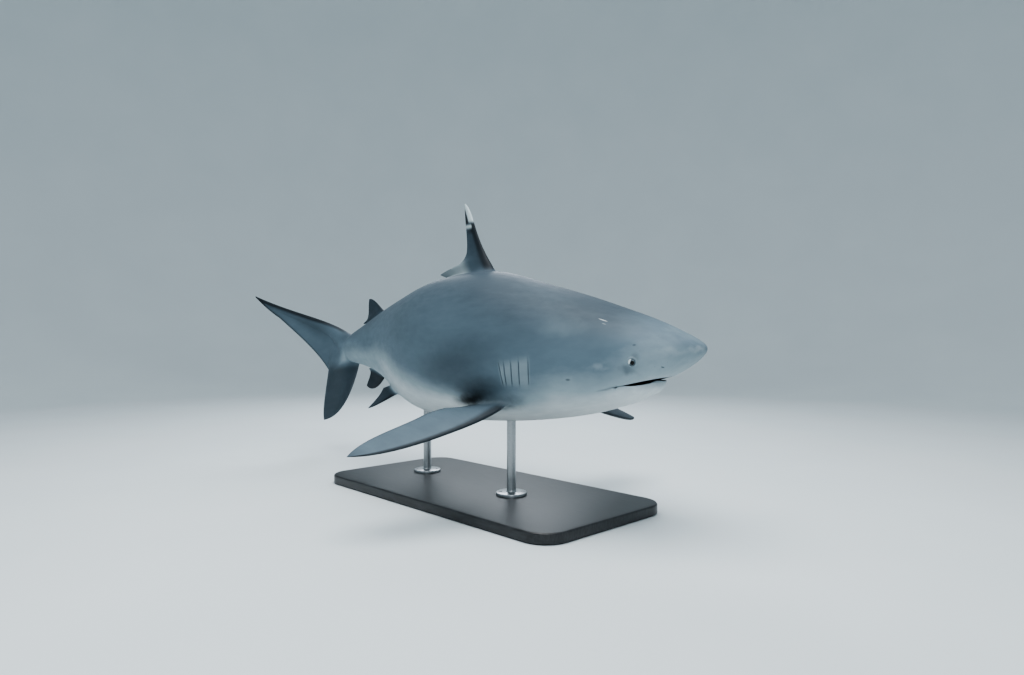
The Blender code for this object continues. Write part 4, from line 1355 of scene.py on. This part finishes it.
# %% Stand base
low, high = (np.array(v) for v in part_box("stand_base"))
CORNER, ROUND, RECESS = 0.09, 0.006, 0.007            # corner, edge rounding, foot recess
SHADOW_GAP = 0.004                                    # height of the recessed foot


def rounded_rectangle(half, corner, steps=14):
    """Quarter circles of radius corner round a rectangle of half sizes `half`."""
    quarter = np.arange(4)
    a = (np.pi / 2 * quarter[:, None] + np.linspace(0, np.pi / 2, steps)[None, :])
    sx, sy = np.array((1, -1, -1, 1))[:, None], np.array((1, 1, -1, -1))[:, None]
    return np.stack([sx * (half[0] - corner) + corner * np.cos(a),
                     sy * (half[1] - corner) + corner * np.sin(a)], -1).reshape(-1, 2)


half = (high - low)[:2] / 2
middle = (high + low)[:2] / 2
turn = np.linspace(0, np.pi / 2, 7)
edge_profile = [(RECESS, 0.0), (RECESS, SHADOW_GAP), (0.001, SHADOW_GAP), (0.0, 0.005)]
edge_profile += [(ROUND * (1 - math.cos(a)), high[2] - ROUND * (1 - math.sin(a))) for a in turn]
edge_profile += [(0.02, high[2]), (0.12, high[2])]
loops = []
for inset, z in edge_profile:
    outline = rounded_rectangle(half - inset, max(CORNER - inset, 0.02)) + middle
    loops.append(np.column_stack([outline, np.full(len(outline), z)]))
base = loop_solid("display_base", np.stack(loops))
smooth(base.data, 30)

# Open grain of ash under the lacquer, pores 1 to 4 mm apart: the black never looks dead.
lacquer, tree, shader = finish("base_black_satin_lacquer")
spot = add(tree, "TexCoord", {}, "Object")
stretched = add(tree, "VectorMath", {0: spot, 1: (0.06, 1.0, 0.3)}, operation="MULTIPLY")
wood = add(tree, "TexNoise", {"Vector": stretched, "Scale": 1 / 0.004, "Detail": 4.0})
pores = add(tree, "MapRange", {0: wood, 1: 0.35, 2: 0.7}, **EASED)
black = add(tree, "Mix", {0: pores, 6: colour("#1B1C1E"), 7: colour("#2C2E31")}, 2, **COLOURS)
bumped = add(tree, "Bump", {"Height": wood, "Strength": 0.25, "Distance": 0.0006})
gloss = add(tree, "MapRange", {0: wood, 3: 0.28, 4: 0.42})
feed(shader, {"Base Color": black, "Normal": bumped, "Roughness": gloss})
base.data.materials.append(lacquer)
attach(base, "root")
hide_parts("stand_base")
print("base", np.round(high - low, 4))

# %% Rods, flanges and screws
ROD_RADIUS, ROD_EXTRA = 0.016, 0.003
FLANGE_HEIGHT, COVE = 0.010, 0.007                    # the cove rounds flange into rod
SCREW_CIRCLE = 0.040

# Turning marks run round the rod, about 1 mm apart, and draw the highlight out into rings.
steel, tree, shader = finish("rod_brushed_stainless_steel")
spot = add(tree, "TexCoord", {}, "Object")
stretched = add(tree, "VectorMath", {0: spot, 1: (0.15, 0.15, 1.0)}, operation="MULTIPLY")
lines = add(tree, "TexNoise", {"Vector": stretched, "Scale": 1 / 0.0012, "Detail": 3.0})
grey = add(tree, "Mix", {0: lines, 6: colour("#8E9194"), 7: colour("#B9BCBE")}, 2, **COLOURS)
gloss = add(tree, "MapRange", {0: lines, 3: 0.24, 4: 0.40})
feed(shader, {"Base Color": grey, "Roughness": gloss, "Metallic": 1.0})


def turned_up(profile, x, y, columns=64):
    """A profile of (radius, height) turned about the upright through (x, y)."""
    a = np.linspace(0, 2 * np.pi, columns, endpoint=False)
    profile = np.asarray(profile, float)
    ring = np.stack([np.cos(a), np.sin(a)], 1)
    flat = profile[:, None, :1] * ring[None] + np.array((x, y))
    return np.concatenate([flat, np.broadcast_to(profile[:, None, 1:], flat.shape[:2] + (1,))], 2)


def socket_screw(x, y, z, columns=36):
    """A low dome of 6 mm radius with a hexagon pressed in: r = flat / cos(a to the next flat)."""
    a = np.linspace(0, 2 * np.pi, columns, endpoint=False)
    hexagon = 0.0021 / np.cos((a % (np.pi / 3)) - np.pi / 6)
    rows = [(0.006 + 0 * a, 0.0), (0.006 + 0 * a, 0.0006), (0.0052 + 0 * a, 0.0016),
            (0.0036 + 0 * a, 0.0022), (hexagon, 0.0023), (hexagon, 0.0008)]
    return np.stack([np.stack([x + r * np.cos(a), y + r * np.sin(a), np.full(columns, z + h)], 1)
                     for r, h in rows])


def rod(name, node):
    """Flange and rod in one turned piece, with four screws; the top ends inside the belly."""
    low, high = (np.array(v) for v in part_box(node))
    x, y = (low[0] + high[0]) / 2, (low[1] + high[1]) / 2
    flange, z, top = (high[0] - low[0]) / 2, low[2], high[2] + ROD_EXTRA
    cove = [(ROD_RADIUS + COVE * (1 - math.sin(t)), z + FLANGE_HEIGHT + COVE * (1 - math.cos(t)))
            for t in np.linspace(0, np.pi / 2, 7)]
    profile = [(flange, z), (flange, z + 0.0075), (flange - 0.0007, z + 0.0092),
               (flange - 0.0025, z + FLANGE_HEIGHT),
               (ROD_RADIUS + 0.0072, z + FLANGE_HEIGHT)] + cove[1:]
    profile += [(ROD_RADIUS, z + (top - z) * t) for t in np.linspace(0.2, 1, 9)]
    pieces = [loop_solid("rod", turned_up(profile, x, y))]
    for a in np.radians((45, 135, 225, 315)):
        ox, oy = SCREW_CIRCLE * math.cos(a), SCREW_CIRCLE * math.sin(a)
        pieces.append(loop_solid("screw", socket_screw(x + ox, y + oy, z + 0.0098)))
    made = join(name, pieces)
    smooth(made.data, 32)
    made.data.materials.append(steel)
    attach(made, "root")
    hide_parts(node)
    print(name, "at", round(x, 4), round(y, 4), "top", round(top, 4))


rod("rod_front", "stand_rod_front")
rod("rod_rear", "stand_rod_rear")

# %% [markdown]
# ## Studio
#
# A pale round room whose floor sweeps up into its wall, so that there is no horizon from
# any side.  One wide soft light hangs over the back, as daylight does over a swimming
# animal, a weaker one fills from the viewer's side, and the pale floor lights the belly.

# %% Studio room
ROOM, SWEEP, WALL = 5.0, 3.0, 6.0
turn = np.linspace(0, np.pi / 2, 24)
room_profile = np.array([(r, 0.0) for r in (0.02, 1.0, 2.5, 4.0)]
                        + [(ROOM + SWEEP * math.sin(a), SWEEP * (1 - math.cos(a))) for a in turn]
                        + [(ROOM + SWEEP, WALL)])
room_loops = turned_up(room_profile, 0.0, 0.0, 96)
mesh = bpy.data.meshes.new("studio_room")
count = room_loops.shape[:2]
first_ring = tuple(range(count[1] - 1, -1, -1))
mesh.from_pydata(room_loops.reshape(-1, 3).tolist(), [], grid_faces(*count).tolist() + [first_ring])
mesh.update()
room = placed("studio_room", mesh)
smooth(mesh)
# Matt plaster: no lamp mirrors in it, and faint clouds keep the wide wall from looking flat.
plaster, tree, shader = finish("room_matt_plaster")
spot = add(tree, "TexCoord", {}, "Object")
cloud = add(tree, "TexNoise", {"Vector": spot, "Scale": 1.5, "Detail": 2.0})
wall = add(tree, "Mix", {0: cloud, 6: colour("#CDD5D8"), 7: colour("#D6DDDF")}, 2, **COLOURS)
feed(shader, {"Base Color": wall, "Roughness": 0.9})
room.data.materials.append(plaster)


# %% Lamps and the light of the room
def soft_light(name, place, target, size, power, tint):
    """A square lamp at a place, turned towards a target."""
    lamp = bpy.data.lights.new(name, "AREA")
    lamp.shape, lamp.size, lamp.energy = "SQUARE", size, power
    lamp.color = colour(tint)[:3]
    ob = placed(name, lamp)
    ob.location = place
    ob.rotation_euler = (Vector(target) - Vector(place)).to_track_quat("-Z", "Y").to_euler()


soft_light("overhead", (0.4, -0.5, 3.6), (0.0, 0.0, 0.6), 3.0, 150, "#FFFFFF")
soft_light("viewer_side", (2.8, -2.4, 1.9), (0.2, 0.0, 0.6), 1.6, 32, "#F4FAFF")
soft_light("behind", (-2.6, 2.2, 2.6), (-0.4, 0.0, 0.6), 1.8, 60, "#F2F8FF")
world = bpy.data.worlds.new("studio")
bpy.context.scene.world = world
world.use_nodes = True
feed(world.node_tree.nodes["Background"], {0: colour("#DCE8F0"), 1: 0.66})
print("lamps:", len(bpy.data.lights))

# %% [markdown]
# ## Camera
#
# The viewer stands low and close, ahead of the shark on its right, with a wide lens held
# level a little above the shark's eyes.  Its place and heading come from the same fit.

# %% Camera
EYE_HEIGHT, FACING = 0.5935, 46.4747      # metres above the floor; degrees turned left of +Y
camera_data = bpy.data.cameras.new("camera")
camera_data.lens, camera_data.sensor_width = 24.0, 36.0
camera = placed("camera", camera_data)
camera.location = (1.9408, -1.6803, EYE_HEIGHT)
camera.rotation_euler = (math.radians(90), 0, math.radians(FACING))
bpy.context.scene.camera = camera
bpy.context.scene.view_settings.view_transform = "AgX"
bpy.context.scene.view_settings.look = "AgX - Medium High Contrast"
